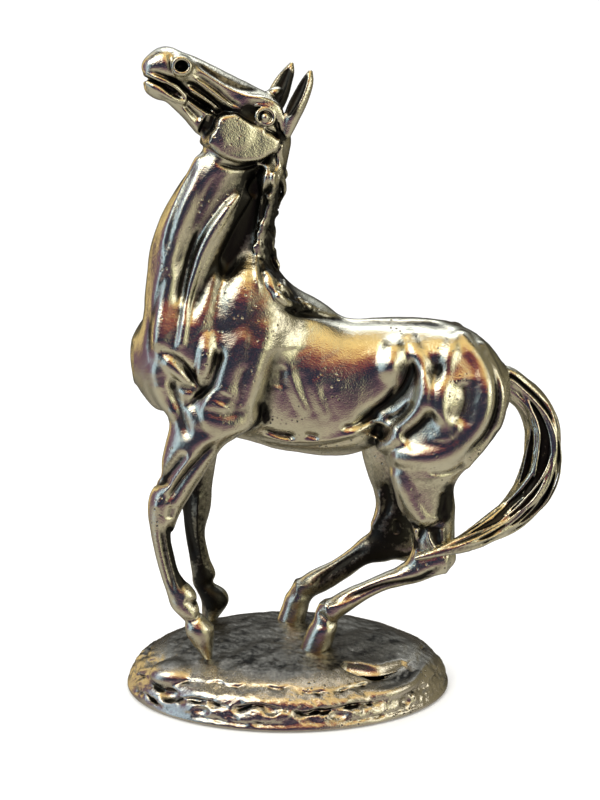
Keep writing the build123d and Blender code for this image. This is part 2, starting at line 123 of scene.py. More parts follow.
class Clay:
    """A grid of distances; negative is inside the metal."""

    def __init__(self, low, high, step):
        self.step = step * COARSE
        self.low = np.array(low, float)
        counts = np.ceil((np.array(high, float) - self.low) / self.step).astype(int) + 1
        self.axes = [self.low[i] + self.step * np.arange(counts[i]) for i in range(3)]
        self.field = np.full(counts, FAR, np.float32)
        self.turn = None
        self.stain_and_shade_maps = []

    def set_turn(self, pivot=None, yaw=0.0):
        """Later shapes are given in a frame turned about a vertical line."""
        self.turn = None if pivot is None else (pivot, math.cos(yaw), math.sin(yaw))

    def window(self, low, high):
        """The slices of the grid that cover a box, and the coordinates inside them."""
        low, high = np.array(low, float) - FAR, np.array(high, float) + FAR
        if self.turn:
            (px, py), c, s = self.turn
            corners = np.array([(x, y) for x in (low[0], high[0]) for y in (low[1], high[1])])
            wx = px + c * corners[:, 0] - s * corners[:, 1]
            wy = py + s * corners[:, 0] + c * corners[:, 1]
            low = np.array([wx.min(), wy.min(), low[2]])
            high = np.array([wx.max(), wy.max(), high[2]])
        first = np.maximum(np.floor((low - self.low) / self.step).astype(int), 0)
        last = np.ceil((high - self.low) / self.step).astype(int) + 1
        last = np.minimum(last, self.field.shape)
        if np.any(last - first < 2):
            return None, None
        slices = tuple(slice(a, b) for a, b in zip(first, last))
        x, y, z = (self.axes[i][slices[i]].astype(np.float32) for i in range(3))
        x, y, z = x[:, None, None], y[None, :, None], z[None, None, :]
        return slices, turned((x, y, z), self.turn)

    def blend(self, slices, distance, soft):
        """Adds a shape, with a fillet."""
        self.field[slices] = smooth_min(self.field[slices], distance.astype(np.float32), soft)

    def carve(self, slices, distance, soft):
        """Takes a shape away, with a fillet."""
        self.field[slices] = -smooth_min(-self.field[slices], distance.astype(np.float32), soft)

    def stack(self, axis, stations, soft):
        """Ovals strung along X (axis 0) or Z (axis 2) and skinned over.

        A station is its place on that axis, its centre on the other one, its y, half its size on
        the other axis and half its width.
        """
        places, centres, ys, halves, half_widths = zip(*stations)
        reach = max(halves + half_widths)
        low = [min(places), min(ys) - reach, min(centres) - reach]
        high = [max(places), max(ys) + reach, max(centres) + reach]
        if axis == 2:
            low, high = [low[2], low[1], low[0]], [high[2], high[1], high[0]]
        slices, grid = self.window(low, high)
        if slices is None:
            return
        along, other = (grid[0], grid[2]) if axis == 0 else (grid[2], grid[0])
        shape = along.shape
        table = smooth_curve(stations, along.ravel().astype(float))
        _, centre, y, half_other, half_y = (c.reshape(shape).astype(np.float32) for c in table.T)
        wall = oval((other - centre, half_other), (grid[1] - y, half_y))
        ends = np.maximum(min(places) - along, along - max(places))
        self.blend(slices, np.maximum(wall, ends), soft)

    def ball(self, centre, radii, soft, pitch=0.0, cut=False):
        """An ellipsoid; pitch tilts it in the XZ plane, in degrees."""
        reach = max(radii)
        slices, grid = self.window([c - reach for c in centre], [c + reach for c in centre])
        if slices is None:
            return
        x, y, z = (grid[i] - centre[i] for i in range(3))
        x, z = tilted(x, z, pitch)
        distance = oval((x, radii[0]), (y, radii[1]), (z, radii[2]))
        (self.carve if cut else self.blend)(slices, distance, soft)

    def disc(self, centre, radii, half_y, soft, pitch=0.0):
        """A flat oval plate with a rounded edge, standing across Y."""
        reach = max(radii)
        low = [centre[0] - reach, centre[1] - half_y, centre[2] - reach]
        high = [centre[0] + reach, centre[1] + half_y, centre[2] + reach]
        slices, grid = self.window(low, high)
        if slices is None:
            return
        x, y, z = (grid[i] - centre[i] for i in range(3))
        x, z = tilted(x, z, pitch)
        edge = oval((x, radii[0]), (z, radii[1]))
        self.blend(slices, smooth_max(edge, np.abs(y) - half_y, 2.2), soft)

    def cord(self, points, soft, spacing=2.0, cut=False):
        """A round cord through points (x, y, z, radius), added as one shape."""
        path = smooth_path(points, spacing)
        reach = path[:, 3].max()
        slices, grid = self.window(path[:, :3].min(0) - reach, path[:, :3].max(0) + reach)
        if slices is None:
            return
        nearest = None
        for start, end in zip(path[:-1], path[1:]):
            distance = capsule(grid, start, end)
            nearest = distance if nearest is None else np.minimum(nearest, distance)
        (self.carve if cut else self.blend)(slices, nearest, soft)

    def strand(self, points, spacing=2.5):
        """A thin cord that stays distinct from what it lies on."""
        path = smooth_path(points, spacing)
        for start, end in zip(path[:-1], path[1:]):
            reach = max(start[3], end[3])
            low, high = np.minimum(start, end)[:3] - reach, np.maximum(start, end)[:3] + reach
            slices, grid = self.window(low, high)
            if slices is None:
                continue
            distance = capsule(grid, start, end).astype(np.float32)
            self.field[slices] = np.minimum(self.field[slices], distance)

    def relief(self, strokes, low, high, fade=2.0):
        """Pushes the surface out along ridges and in along hollows, inside a box."""
        reach = 8.0  # the strokes' sheet goes on this far past their points
        points = np.concatenate([np.array(s[2], float) for s in strokes])
        first = np.maximum(points.min(0) - reach, [low[0], low[2]])
        last = np.minimum(points.max(0) + reach, [high[0], high[2]])
        slices, grid = self.window([first[0], low[1], first[1]], [last[0], high[1], last[1]])
        if slices is None:
            return
        cell = self.step / 2
        xs = np.arange(points[:, 0].min() - reach - FAR, points[:, 0].max() + reach + FAR, cell)
        zs = np.arange(points[:, 1].min() - reach - FAR, points[:, 1].max() + reach + FAR, cell)
        heights = height_map(strokes, xs, zs)
        height = spread(heights, xs, zs, np.broadcast_arrays(*grid), low, high, fade)
        near = np.abs(self.field[slices]) < FAR
        self.field[slices] -= np.where(near, height, 0).astype(np.float32)
        self.stain_and_shade_maps.append((self.turn, np.maximum(-heights, 0), xs, zs, low, high, fade))

    def stain_and_shade(self, strokes, low, high, fade=2.0):
        """Darkens the surface along strokes without moving it, for patina and for painted shade."""
        reach = 12.0
        points = np.concatenate([np.array(s[2], float) for s in strokes])
        first, last = points.min(0) - reach, points.max(0) + reach
        xs = np.arange(first[0], last[0], self.step)
        zs = np.arange(first[1], last[1], self.step)
        self.stain_and_shade_maps.append((self.turn, height_map(strokes, xs, zs), xs, zs, low, high, fade))

    def muscle(self, points, lifts, soft, side=-1):
        """A cord (x, z, radius) laid on one side of the masses.

        It stands out by three lifts, at its start, along its middle and at its end.
        """
        path = smooth_path(points, 2.0)
        along = np.linspace(0, 1, len(path))
        start, middle, end = lifts
        lift = np.interp(along, [0, 0.3, 0.7, 1], [start, middle, middle, end])
        x, z, radius = path.T
        y = flanks.surface(side, x, z) - side * (radius - lift)
        self.cord(np.column_stack([x, y, z, radius]), soft)

    def soften(self):
        """Blurs the field slightly, as wax rounds off."""
        for axis in range(3):
            middle = np.moveaxis(self.field, axis, 0)
            middle[1:-1] = middle[1:-1] / 2 + (middle[:-2] + middle[2:]) / 4


def tilted(x, z, pitch):
    """X and Z along axes that are tilted by an angle in degrees."""
    c, s = math.cos(math.radians(pitch)), math.sin(math.radians(pitch))
    return c * x + s * z, -s * x + c * z


def turned(places, turn):
    """Places in a frame turned about a vertical line."""
    x, y, z = places
    if turn:
        (px, py), c, s = turn
        x, y = c * (x - px) + s * (y - py), -s * (x - px) + c * (y - py)
    return x, y, z


def smooth_min(a, b, soft):
    """The smaller of two distances, rounded where they meet."""
    if soft <= 0:
        return np.minimum(a, b)
    h = np.clip(0.5 + 0.5 * (b - a) / soft, 0, 1)
    return b + (a - b) * h - soft * h * (1 - h)


def smooth_max(a, b, soft):
    """The larger of two distances, rounded where they meet."""
    return -smooth_min(-a, -b, soft)


def fade_in(value, width):
    """Zero below 0, one above the width, smooth between."""
    t = np.clip(value / width, 0, 1)
    return t * t * (3 - 2 * t)


def oval(*axes):
    """Nearly the distance to an oval, from the (offset, radius) along each of its axes."""
    level = np.sqrt(sum((offset / radius) ** 2 for offset, radius in axes) + 1e-6)
    steepness = np.sqrt(sum((offset / radius**2) ** 2 for offset, radius in axes) + 1e-8)
    return level * (level - 1) / steepness


def capsule(grid, start, end):
    """Distance to a round bar whose radius changes along it."""
    dx, dy, dz = (end - start)[:3]
    length = dx * dx + dy * dy + dz * dz + 1e-9
    x, y, z = grid[0] - start[0], grid[1] - start[1], grid[2] - start[2]
    t = np.clip((x * dx + y * dy + z * dz) / length, 0, 1)
    x, y, z = x - t * dx, y - t * dy, z - t * dz
    return np.sqrt(x * x + y * y + z * z) - (start[3] + t * (end[3] - start[3]))


def spread(heights, xs, zs, places, low, high, fade):
    """Heights of a sheet in X and Z at places in space, faded out at the sides of a box."""
    x, y, z = places
    i = np.clip((x - xs[0]) / (xs[1] - xs[0]), 0, len(xs) - 2)
    k = np.clip((z - zs[0]) / (zs[1] - zs[0]), 0, len(zs) - 2)
    height = bilinear(heights, i, k)
    for value, bottom, top in zip((x, y, z), low, high):
        height = height * fade_in(value - bottom, fade) * fade_in(top - value, fade)
    return height


def bilinear(table, i, k):
    """Values of a 2-D table between its cells."""
    i0, k0 = i.astype(np.int32), k.astype(np.int32)
    u, v = i - i0, k - k0
    return (
        table[i0, k0] * (1 - u) * (1 - v)
        + table[i0 + 1, k0] * u * (1 - v)
        + table[i0, k0 + 1] * (1 - u) * v
        + table[i0 + 1, k0 + 1] * u * v
    )


def height_map(strokes, xs, zs):
    """Heights of all strokes on a sheet: (height, width, points), fading at both ends."""
    sheet = np.zeros((len(xs), len(zs)), np.float32)
    for height, width, points in strokes:
        path = smooth_path([(x, z, 0.0) for x, z in points], 1.5)
        reach = 3.5 * width + 1
        i0, i1 = np.searchsorted(xs, [path[:, 0].min() - reach, path[:, 0].max() + reach])
        k0, k1 = np.searchsorted(zs, [path[:, 1].min() - reach, path[:, 1].max() + reach])
        x, z = xs[i0:i1, None], zs[None, k0:k1]
        best = np.full((i1 - i0, k1 - k0), 1e9)
        where = np.zeros_like(best)
        spans = max(len(path) - 1, 1)
        for n in range(spans):
            start, end = path[n], path[min(n + 1, len(path) - 1)]
            dx, dz = end[0] - start[0], end[1] - start[1]
            t = np.clip(((x - start[0]) * dx + (z - start[1]) * dz) / (dx * dx + dz * dz + 1e-9), 0, 1)
            gap = (x - start[0] - t * dx) ** 2 + (z - start[1] - t * dz) ** 2
            closer = gap < best
            best = np.where(closer, gap, best)
            where = np.where(closer, (n + t) / spans, where)
        taper = 1.0 if len(points) == 1 else fade_in(where, 0.2) * fade_in(1 - where, 0.2)
        sheet[i0:i1, k0:k1] += height * taper * np.exp(-((best / width**2) ** 0.75))
    return sheet


def trilinear(field, places):
    """Values of a grid between its cells; places are in cells."""
    limit = np.array(field.shape) - 1.001
    places = np.clip(places, 0, limit)
    base = places.astype(np.int32)
    share = places - base
    result = 0
    for corner in np.ndindex(2, 2, 2):
        weight = np.where(corner, share, 1 - share).prod(axis=1)
        result = result + weight * field[tuple((base + corner).T)]
    return result


class Flanks:
    """Where the two sides of the plain masses lie, so that muscles can be laid on them."""

    def __init__(self, low, high, step):
        clay = Clay(low, high, step)
        shape_masses(clay)
        self.low, self.step = clay.low, clay.step
        self.sides = {side: self.survey(clay, side) for side in (-1, 1)}

    def survey(self, clay, side):
        """Y of the outermost surface on one side, at every X and Z of the grid."""
        field, y = (clay.field, clay.axes[1]) if side < 0 else (clay.field[:, ::-1], clay.axes[1][::-1])
        first = np.maximum((field < 0).argmax(axis=1), 1)
        found = (field < 0).any(axis=1)
        inner = np.take_along_axis(field, first[:, None], 1)[:, 0]
        outer = np.take_along_axis(field, first[:, None] - 1, 1)[:, 0]
        share = np.clip(outer / np.maximum(outer - inner, 1e-3), 0, 1)
        sheet = np.where(found, y[first - 1] + (y[first] - y[first - 1]) * share, 0.0)
        known = found.astype(float)
        for _ in range(12):
            total, count = np.zeros_like(sheet), np.zeros_like(sheet)
            for axis in (0, 1):
                for shift in (-1, 1):
                    total += np.roll(sheet * known, shift, axis)
                    count += np.roll(known, shift, axis)
            fresh = (known == 0) & (count > 0)
            sheet = np.where(fresh, total / np.maximum(count, 1), sheet)
            known = np.where(fresh, 1.0, known)
        return sheet

    def surface(self, side, x, z):
        """Y of the surface at places given in X and Z."""
        sheet = self.sides[side]
        i = np.clip((x - self.low[0]) / self.step, 0, sheet.shape[0] - 2)
        k = np.clip((z - self.low[2]) / self.step, 0, sheet.shape[1] - 2)
        return bilinear(sheet, i, k)


# ---- from clay to a mesh ----
def skin(field):
    """Surface nets: a vertex in each cell that the surface crosses, a quad at each crossed edge."""
    inside = field < 0
    corners = list(np.ndindex(2, 2, 2))
    nx, ny, nz = (n - 1 for n in field.shape)
    count = np.zeros((nx, ny, nz), np.int8)
    for i, j, k in corners:
        count += inside[i : i + nx, j : j + ny, k : k + nz]
    cells = np.argwhere((count > 0) & (count < 8))
    number = np.full(count.shape, -1, np.int32)
    number[tuple(cells.T)] = np.arange(len(cells))
    values = np.stack([field[tuple((cells + c).T)] for c in corners], axis=1)
    total = np.zeros((len(cells), 3))
    crossings = np.zeros(len(cells))
    for a in range(8):
        for b in range(a + 1, 8):
            step = np.array(corners[b]) - np.array(corners[a])
            if np.abs(step).sum() != 1:
                continue
            va, vb = values[:, a], values[:, b]
            crossed = (va < 0) != (vb < 0)
            t = np.where(crossed, va / np.where(crossed, va - vb, 1), 0)
            total += np.where(crossed[:, None], np.array(corners[a]) + t[:, None] * step, 0)
            crossings += crossed
    vertices = cells + total / crossings[:, None]
    quads = []
    for axis in range(3):
        u, v = [n for n in range(3) if n != axis]
        lower = [slice(1, -1)] * 3
        lower[axis] = slice(0, -1)
        upper = list(lower)
        upper[axis] = slice(1, None)
        a, b = inside[tuple(lower)], inside[tuple(upper)]
        for flip, edges in ((False, a & ~b), (True, ~a & b)):
            at = np.argwhere(edges)
            at[:, u] += 1
            at[:, v] += 1
            ring = []
            for du, dv in ((-1, -1), (0, -1), (0, 0), (-1, 0)):
                cell = at.copy()
                cell[:, u] += du
                cell[:, v] += dv
                ring.append(number[tuple(cell.T)])
            quad = np.stack(ring, axis=1)
            if flip ^ (axis == 1):
                quad = quad[:, ::-1]
            quads.append(quad)
    return vertices, np.concatenate(quads)


def largest_part(vertices, quads):
    """Drops the crumbs and bubbles that hang free of the main skin."""
    label = np.arange(len(vertices))
    while True:
        fresh = label.copy()
        np.minimum.at(fresh, quads, label[quads].min(axis=1)[:, None])
        fresh = fresh[fresh]
        if np.array_equal(fresh, label):
            break
        label = fresh
    kept = label == np.bincount(label).argmax()
    number = np.cumsum(kept) - 1
    return vertices[kept], number[quads[kept[quads[:, 0]]]]


def cut_mesh(vertices, quads, planes, bites=()):
    """Cuts a closed mesh on planes (point, outward normal) and caps it.

    A bite is a plane with a rule for which places beyond it are taken away.
    """
    mesh = bpy.data.meshes.new("cut")
    mesh.from_pydata(vertices.tolist(), [], quads.tolist())
    work = bmesh.new()
    work.from_mesh(mesh)
    bpy.data.meshes.remove(mesh)
    for point, normal, region in [(*plane, None) for plane in planes] + list(bites):
        everything = work.verts[:] + work.edges[:] + work.faces[:]
        bmesh.ops.bisect_plane(
            work, geom=everything, dist=1e-5, plane_co=point, plane_no=normal,
            clear_outer=region is None,
        )
        if region:
            outside = [
                f for f in work.faces
                if (f.calc_center_median() - Vector(point)).dot(Vector(normal)) > 0
                and region(f.calc_center_median())
            ]
            bmesh.ops.delete(work, geom=outside, context="FACES")
        rim = [e for e in work.edges if len(e.link_faces) == 1]
        if rim:
            bmesh.ops.triangle_fill(work, use_beauty=True, use_dissolve=False, edges=rim)
    return work


def ripple(points):
    """The slight waves that hand chasing leaves on a polished casting, in millimetres."""
    return 0.09 * wave_noise(*points.T, 10, 21, 2)


def casting(name, clay, planes, material, nodes, bites=(), dirt_and_shade=0.0, chased=True):
    """Turns clay into a finished piece: mesh, shading normals and the masks for patina and painted
    shade.
    """
    vertices, quads = largest_part(*skin(clay.field))
    work = cut_mesh(clay.low + vertices * clay.step, quads, planes, bites)
    mesh = bpy.data.meshes.new(name + "_casting")
    work.to_mesh(mesh)
    work.free()
    co = np.empty(len(mesh.vertices) * 3)
    mesh.vertices.foreach_get("co", co)
    co = co.reshape(-1, 3)

    def depth(points):
        distance = trilinear(clay.field, (points - clay.low) / clay.step)
        return distance + ripple(points) if chased else distance

    normal = np.empty_like(co)
    for axis in range(3):
        nudge = np.zeros(3)
        nudge[axis] = clay.step
        normal[:, axis] = depth(co + nudge) - depth(co - nudge)
    normal /= np.linalg.norm(normal, axis=1)[:, None] + 1e-9
    co -= normal * depth(co)[:, None].clip(-0.3, 0.3)
    # Feelers put out from the surface meet metal in a hollow; those put in leave it on a ridge.
    hollow = np.zeros(len(co))
    ridge = np.zeros(len(co))
    for feeler in (1.2, 2.4, 4.5):
        hollow += np.clip(1 - depth(co + normal * feeler) / feeler, 0, 2) / 3
        ridge += np.clip(1 + depth(co - normal * feeler * 0.6) / (feeler * 0.6), 0, 2) / 3
    # Patina strokes and painted shade, added to the piece's base amount.
    stain_and_shade = np.full(len(co), dirt_and_shade)
    for turn, heights, xs, zs, *box in clay.stain_and_shade_maps:
        stain_and_shade += spread(heights, xs, zs, turned(co.T, turn), *box)
    for label, values in (("hollow", hollow), ("ridge", ridge), ("stain_and_shade", stain_and_shade)):
        attribute = mesh.attributes.new(label, "FLOAT", "POINT")
        attribute.data.foreach_set("value", values.astype(np.float32))
    mesh.vertices.foreach_set("co", (co * MM).ravel())
    mesh.shade_smooth()
    mesh.normals_split_custom_set_from_vertices(normal.tolist())
    mesh.materials.append(material)
    piece = bpy.data.objects.new(name + "_casting", mesh)
    bpy.context.scene.collection.objects.link(piece)
    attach(piece, "root")
    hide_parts(*nodes)


# ---- masses of the horse ----
# Stations along X: x, z of the centre, y, half height, half width.
TRUNK = [
    (-58, 134, -3, 8, 7), (-52, 134, -3, 17, 13), (-44, 135, -2.5, 21, 15.5),
    (-28, 134, -0.5, 27.5, 16.5), (-10, 130, 1.5, 29.5, 17.5), (4, 127, 2.6, 29.2, 18),
    (15, 124.3, 3.2, 28.3, 18.3), (25, 123.1, 3.7, 26.7, 18), (34, 124.6, 4, 25.4, 17),
    (44, 125.5, 4, 24.5, 16.5), (55, 124.8, 4, 24.8, 17), (63, 123.5, 4, 24.2, 17),
    (71, 122, 4, 21.8, 15.5), (77, 122, 4, 16.4, 12.5), (83, 123, 4, 9, 8),
]
# Stations along Z: z, x of the centre, y, half length, half width.
NECK = [
    (148, -24, -1.5, 28, 11), (158, -25.3, -1.5, 26.5, 9.5), (166, -27.5, -2.5, 22.5, 8),
    (175, -28.5, -3.2, 20, 6.8), (185, -25.7, -4, 18.5, 6.2), (194, -22.6, -4.8, 17, 6),
    (202, -18.6, -5.3, 15.2, 6.2), (210, -16.5, -5.5, 13.5, 6.6), (220, -12, -5.5, 11, 7),
]
LEFT_THIGH = [
    (136, 62, -4, 11, 6), (128, 64, -6.5, 17.5, 9.5), (118, 62, -8, 20.8, 10.8),
    (107.7, 58.9, -8, 22, 10.6), (98, 56, -8, 18.6, 11), (92, 53.8, -8, 14.2, 10.2),
    (88, 53, -8.2, 12.4, 9), (77, 54.5, -8.6, 10.9, 6.8), (69, 57, -9, 8.4, 5.6),
    (61, 57.2, -9, 8.4, 5.2), (55, 57, -9, 8.4, 4.6), (52, 57, -9, 6, 4),
]
RIGHT_THIGH = [
    (136, 55, 11, 11, 6), (128, 57, 14, 17.5, 9.5), (118, 55, 16.5, 20.8, 10), (107.7, 50, 18, 20, 9.8),
    (98, 46, 19, 16.6, 9.2), (92, 44, 19.5, 13.8, 8.6), (80, 44.6, 20, 11, 7),
    (71.5, 45.4, 20, 8.8, 5.8), (65, 44.8, 20, 8.4, 5.4), (58, 43.5, 20, 8.6, 5), (53, 43, 20, 6, 4),
]
LEFT_CANNON = [
    (61, 56, -9, 4.4, 4.2), (53, 52.5, -9, 5.2, 4.8), (44.3, 49.4, -9, 4.4, 4),
    (38.6, 47.2, -9, 3.9, 3.5), (32.6, 44.2, -9, 4, 3.4), (27.5, 41.2, -9, 4.5, 3.7),
    (22.8, 38.3, -9, 5, 4.3), (20, 36.6, -9, 5, 4.3), (16, 34, -9, 4.6, 3.9),
]
RIGHT_CANNON = [
    (51, 53.5, 20, 4.6, 4.4), (42.5, 51, 20, 6, 5), (32, 49, 20, 6.4, 4.4), (25.8, 43.9, 20, 6, 3.9),
    (17.6, 38.2, 20, 5.8, 3.7), (13.4, 36, 20, 5.9, 4), (8, 33.5, 20, 5.4, 4.2),
    (4, 31.5, 20, 4.4, 3.8),
]
LEFT_PASTERN = [
    (38, 18, -9, 5.2, 4), (34, 16, -9, 4.9, 3.8), (30, 14.9, -9, 4.9, 4.2), (28.6, 14.5, -9, 5.5, 4.9),
    (24, 13, -9, 6.1, 5.3), (18, 11, -9, 6.3, 5.6),
]
RIGHT_PASTERN = [
    (35, 7.5, 20, 5, 4), (31, 4.8, 20, 4.6, 3.9), (29.6, 4.4, 20, 5.2, 4.8), (25, 3.2, 20, 5.6, 5.2),
    (18, 1.2, 20, 6.2, 5.6),
]
LEFT_FORELEG = [
    (124, -29, -12, 14, 8), (117, -29, -13, 15.4, 8.6), (110, -29.6, -13.5, 15, 8.4),
    (105, -34.2, -14, 11.8, 7.9), (99, -37.4, -14.2, 10.1, 7.2), (92.3, -40, -14.5, 8.4, 6.2),
    (84.4, -44.5, -15, 7.8, 5.4), (78.3, -46.8, -15, 6.5, 5.3), (70.3, -48, -15.4, 4.6, 4.3),
    (60, -46.5, -16, 4.2, 3.4), (50, -43.6, -16.4, 4.6, 3.5), (44.8, -41, -16.5, 5.6, 4.2),
    (39.4, -39.7, -16.7, 5.2, 4.4), (35.4, -36.8, -17, 4.6, 3.8), (33.6, -35.2, -17, 4.7, 4.1),
    (32, -34.6, -17, 5.4, 4.8), (28, -33.9, -17, 5.4, 4.8), (25.2, -33.2, -17, 4.5, 4.2),
    (20.5, -31.9, -17, 2.7, 2.6), (17.5, -31.2, -17, 1.7, 1.7),
]
RIGHT_FORELEG = [
    (124, -31, 13, 14, 7.5), (112, -35, 15.5, 13.5, 8), (99, -37, 18, 9.8, 7),
    (90.7, -37.2, 18.5, 8.4, 6.2), (78, -38, 19, 7, 5.3), (67, -37.8, 19, 5.7, 4.9),
    (58.4, -38.6, 19, 4.2, 3.7), (45.3, -36.8, 19.5, 4.2, 3.5), (38.6, -35.3, 20, 4.9, 4.3),
    (34.2, -35.4, 20, 4.4, 3.8), (31.4, -32.6, 20, 5.8, 4.8), (27, -30.8, 20, 5.8, 5.2),
    (22, -32, 20, 4.4, 4.2), (17.5, -33.6, 20, 2.6, 2.6),
]


def shape_masses(clay):
    """Trunk, neck, breast, shoulders and haunches, before the muscles."""
    clay.stack(0, TRUNK, 0)
    clay.stack(2, NECK, 10)
    # windpipe, running down the front of the neck into the breast
    clay.cord([(-21, -8, 212, 7.4), (-27, -7.5, 203, 8.4), (-33, -7, 194, 9), (-39.5, -6, 180, 9.6),
               (-42, -6, 165, 9.8), (-42.5, -7, 152, 10.5), (-41, -9, 142, 11)], 5)
    # brachial muscles from the cheeks to the points of the shoulders
    brachial = [(-9, 204, 5), (-17, 194, 5.5), (-25, 181, 6), (-30, 166, 6.5), (-32, 152, 7.5),
                (-33, 140, 8)]
    for ys in ((-10, -10, -10, -11, -12, -12), (2, 3, 5, 7, 9, 10)):
        clay.cord([(x, y, z, radius) for (x, z, radius), y in zip(brachial, ys)], 4)
    # crest, with the mane lying on it
    clay.cord([(-4, -3, 216, 4.5), (-6.5, -1.5, 204, 4.2), (-9.5, 0, 192, 4), (-12, 1, 180, 4.4),
               (-10.5, 1.5, 168, 5.5), (-3, 2.5, 157, 7), (8, 3, 149, 8)], 7)
    # two halves of the breast and the groove between them
    clay.ball((-48.5, 4.5, 134), (12.5, 11.5, 18), 5)
    clay.ball((-40, -11, 140), (10.5, 9, 18), 5)
    clay.cord([(-53, 0, 158, 0.8), (-61, 1, 146, 1.2), (-62.5, 1.5, 134, 1.4), (-57, 2, 120, 1)], 3,
              cut=True)
    # shoulders
    clay.ball((-14, -9.4, 144), (14, 9.5, 24), 8, pitch=-15)
    clay.ball((-18, 13, 143), (14, 7.5, 24), 8, pitch=-15)
    clay.ball((-22, -11.5, 130), (14, 9, 18), 6)
    clay.ball((-26, 13, 128), (14, 8.5, 18), 6)
    clay.stack(2, LEFT_FORELEG, 6)
    clay.stack(2, RIGHT_FORELEG, 6)
    # haunches
    clay.ball((63, -3, 123), (21, 13, 23), 7)
    clay.ball((59, 12, 123), (21, 12, 23), 7)
    clay.stack(2, LEFT_THIGH, 6)
    clay.stack(2, RIGHT_THIGH, 6)


# Muscles: lifts at start, middle and end, softness, and points (x, z, radius).
TRUNK_MUSCLES = [
    # front edge of the neck muscle, and the column in front of it
    ((0.8, 1.5, 0.6), 1.4, [(-9.5, 210, 2.4), (-15.5, 198.5, 2.4), (-22, 190.5, 2.6), (-29, 180, 2.6),
                            (-33, 170, 2.4), (-36, 159, 2), (-38.5, 144.5, 1.6)]),
    ((0.2, 1.2, 1.4), 1.4, [(-30, 208, 4), (-35, 197.5, 4.6), (-41, 183, 5), (-43.5, 168.5, 5),
                            (-45.5, 155.5, 5), (-46, 145, 4.6)]),
    # breast and point of the shoulder
    ((0.6, 1.2, 0.4), 0.8, [(-43, 136.5, 3), (-38, 132, 3.4), (-33, 127.5, 2.6)]),
    ((0.8, 2.2, 0.8), 0.9, [(-29.5, 145, 4.4), (-30, 137.5, 4.4), (-32, 129.5, 2.6)]),
    ((0.6, 1.5, 0.8), 1.5, [(-47, 132.5, 5), (-44.5, 124.5, 6), (-41, 118.5, 5)]),
    # three heads of the triceps over the elbow
    ((0, 1.6, 1.5), 3.4, [(-8, 147, 5), (-12, 134, 6.5), (-16.5, 121, 4.6)]),
    ((0, 0.6, 1.2), 3.4, [(-17, 144, 5), (-21.5, 132, 4.6), (-24, 121.5, 3.6)]),
    ((0, 0.6, 1), 2, [(-25, 136, 2.6), (-27, 129, 3), (-29, 121.5, 2.8)]),
    ((0.6, 1, 0.6), 2.6, [(-29, 115.5, 5), (-20.5, 113.5, 6), (-13.5, 116, 5)]),
    # shoulder blade
    ((0.5, 1.2, 0.3), 3, [(-20, 152, 7), (-17, 160.5, 8), (-14, 169, 6)]),
    # hip bone
    ((1.6, 2, 1.6), 1.4, [(40.5, 138, 6), (39, 132, 7)]),
    # four bands of the haunch, each running forward to the stifle
    ((0.2, 1.9, 0.9), 1.6, [(46.5, 143, 3.2), (51, 132.5, 3.8), (52, 122.5, 4.4), (45.5, 111, 4.6),
                            (38, 102.5, 3.6)]),
    ((0.2, 1.4, 0.4), 1.6, [(62.5, 142, 3.4), (59, 131, 4), (57.5, 119.5, 4.4), (59.5, 109, 3.4)]),
    ((0.2, 1.8, 0.9), 1.8, [(66, 143, 3.6), (73, 131.5, 4.6), (74, 119.5, 5.4), (68.5, 108, 5.4),
                            (57.5, 101, 5), (44, 99.5, 4)]),
    ((0.2, 0.9, 0.3), 1.4, [(73, 140, 2.8), (79, 127, 3), (80, 119, 3), (76, 106, 3), (68, 97, 2.6)]),
]
LEFT_HIND_MUSCLES = [
    ((0.4, 1.3, 1.3), 1, [(45, 92, 5.6), (48.5, 82, 5.6), (52, 75.5, 4.4)]),
    ((0.8, 1.1, 0.4), 0.7, [(50.5, 72, 1.6), (50.8, 64.5, 1.6), (51, 58, 1.5)]),
    ((0.8, 1.1, 0.4), 0.7, [(54, 71, 1.5), (55.5, 65.5, 1.4), (59, 59.5, 1.4)]),
    ((1, 1.2, 1), 0.5, [(59.5, 69, 2.2), (59.8, 65.5, 2.2)]),
]


def lay_muscles(clay):
    """Muscles of both sides, then those of the left hock, which faces out."""
    for side in (-1, 1):
        for lifts, soft, points in TRUNK_MUSCLES:
            clay.muscle(points, lifts, soft, side)
    for lifts, soft, points in LEFT_HIND_MUSCLES:
        clay.muscle(points, lifts, soft)


def shape_hind_legs(clay):
    """Hocks, cannons, fetlocks and hooves."""
    clay.ball((59.6, -9, 56.8), (5.8, 4.7, 5), 2)
    clay.ball((50.5, 20, 50), (6, 4.8, 5.6), 2)
    clay.stack(0, LEFT_CANNON, 4)
    clay.stack(0, RIGHT_CANNON, 4)
    clay.stack(2, LEFT_PASTERN, 3)
    clay.stack(2, RIGHT_PASTERN, 3)


def shape_body(clay):
    """Everything of the horse but its head, mane and tail."""
    shape_masses(clay)
    lay_muscles(clay)
    shape_hind_legs(clay)


# Outline of the mane along the back of the neck, x and z.
MANE = [(-0.5, 217), (-1, 210), (-2.2, 201), (-3.8, 193), (-6.2, 187), (-6.6, 179), (-4.8, 171),
        (-1.5, 165), (2.5, 159.5), (8.5, 155.5)]


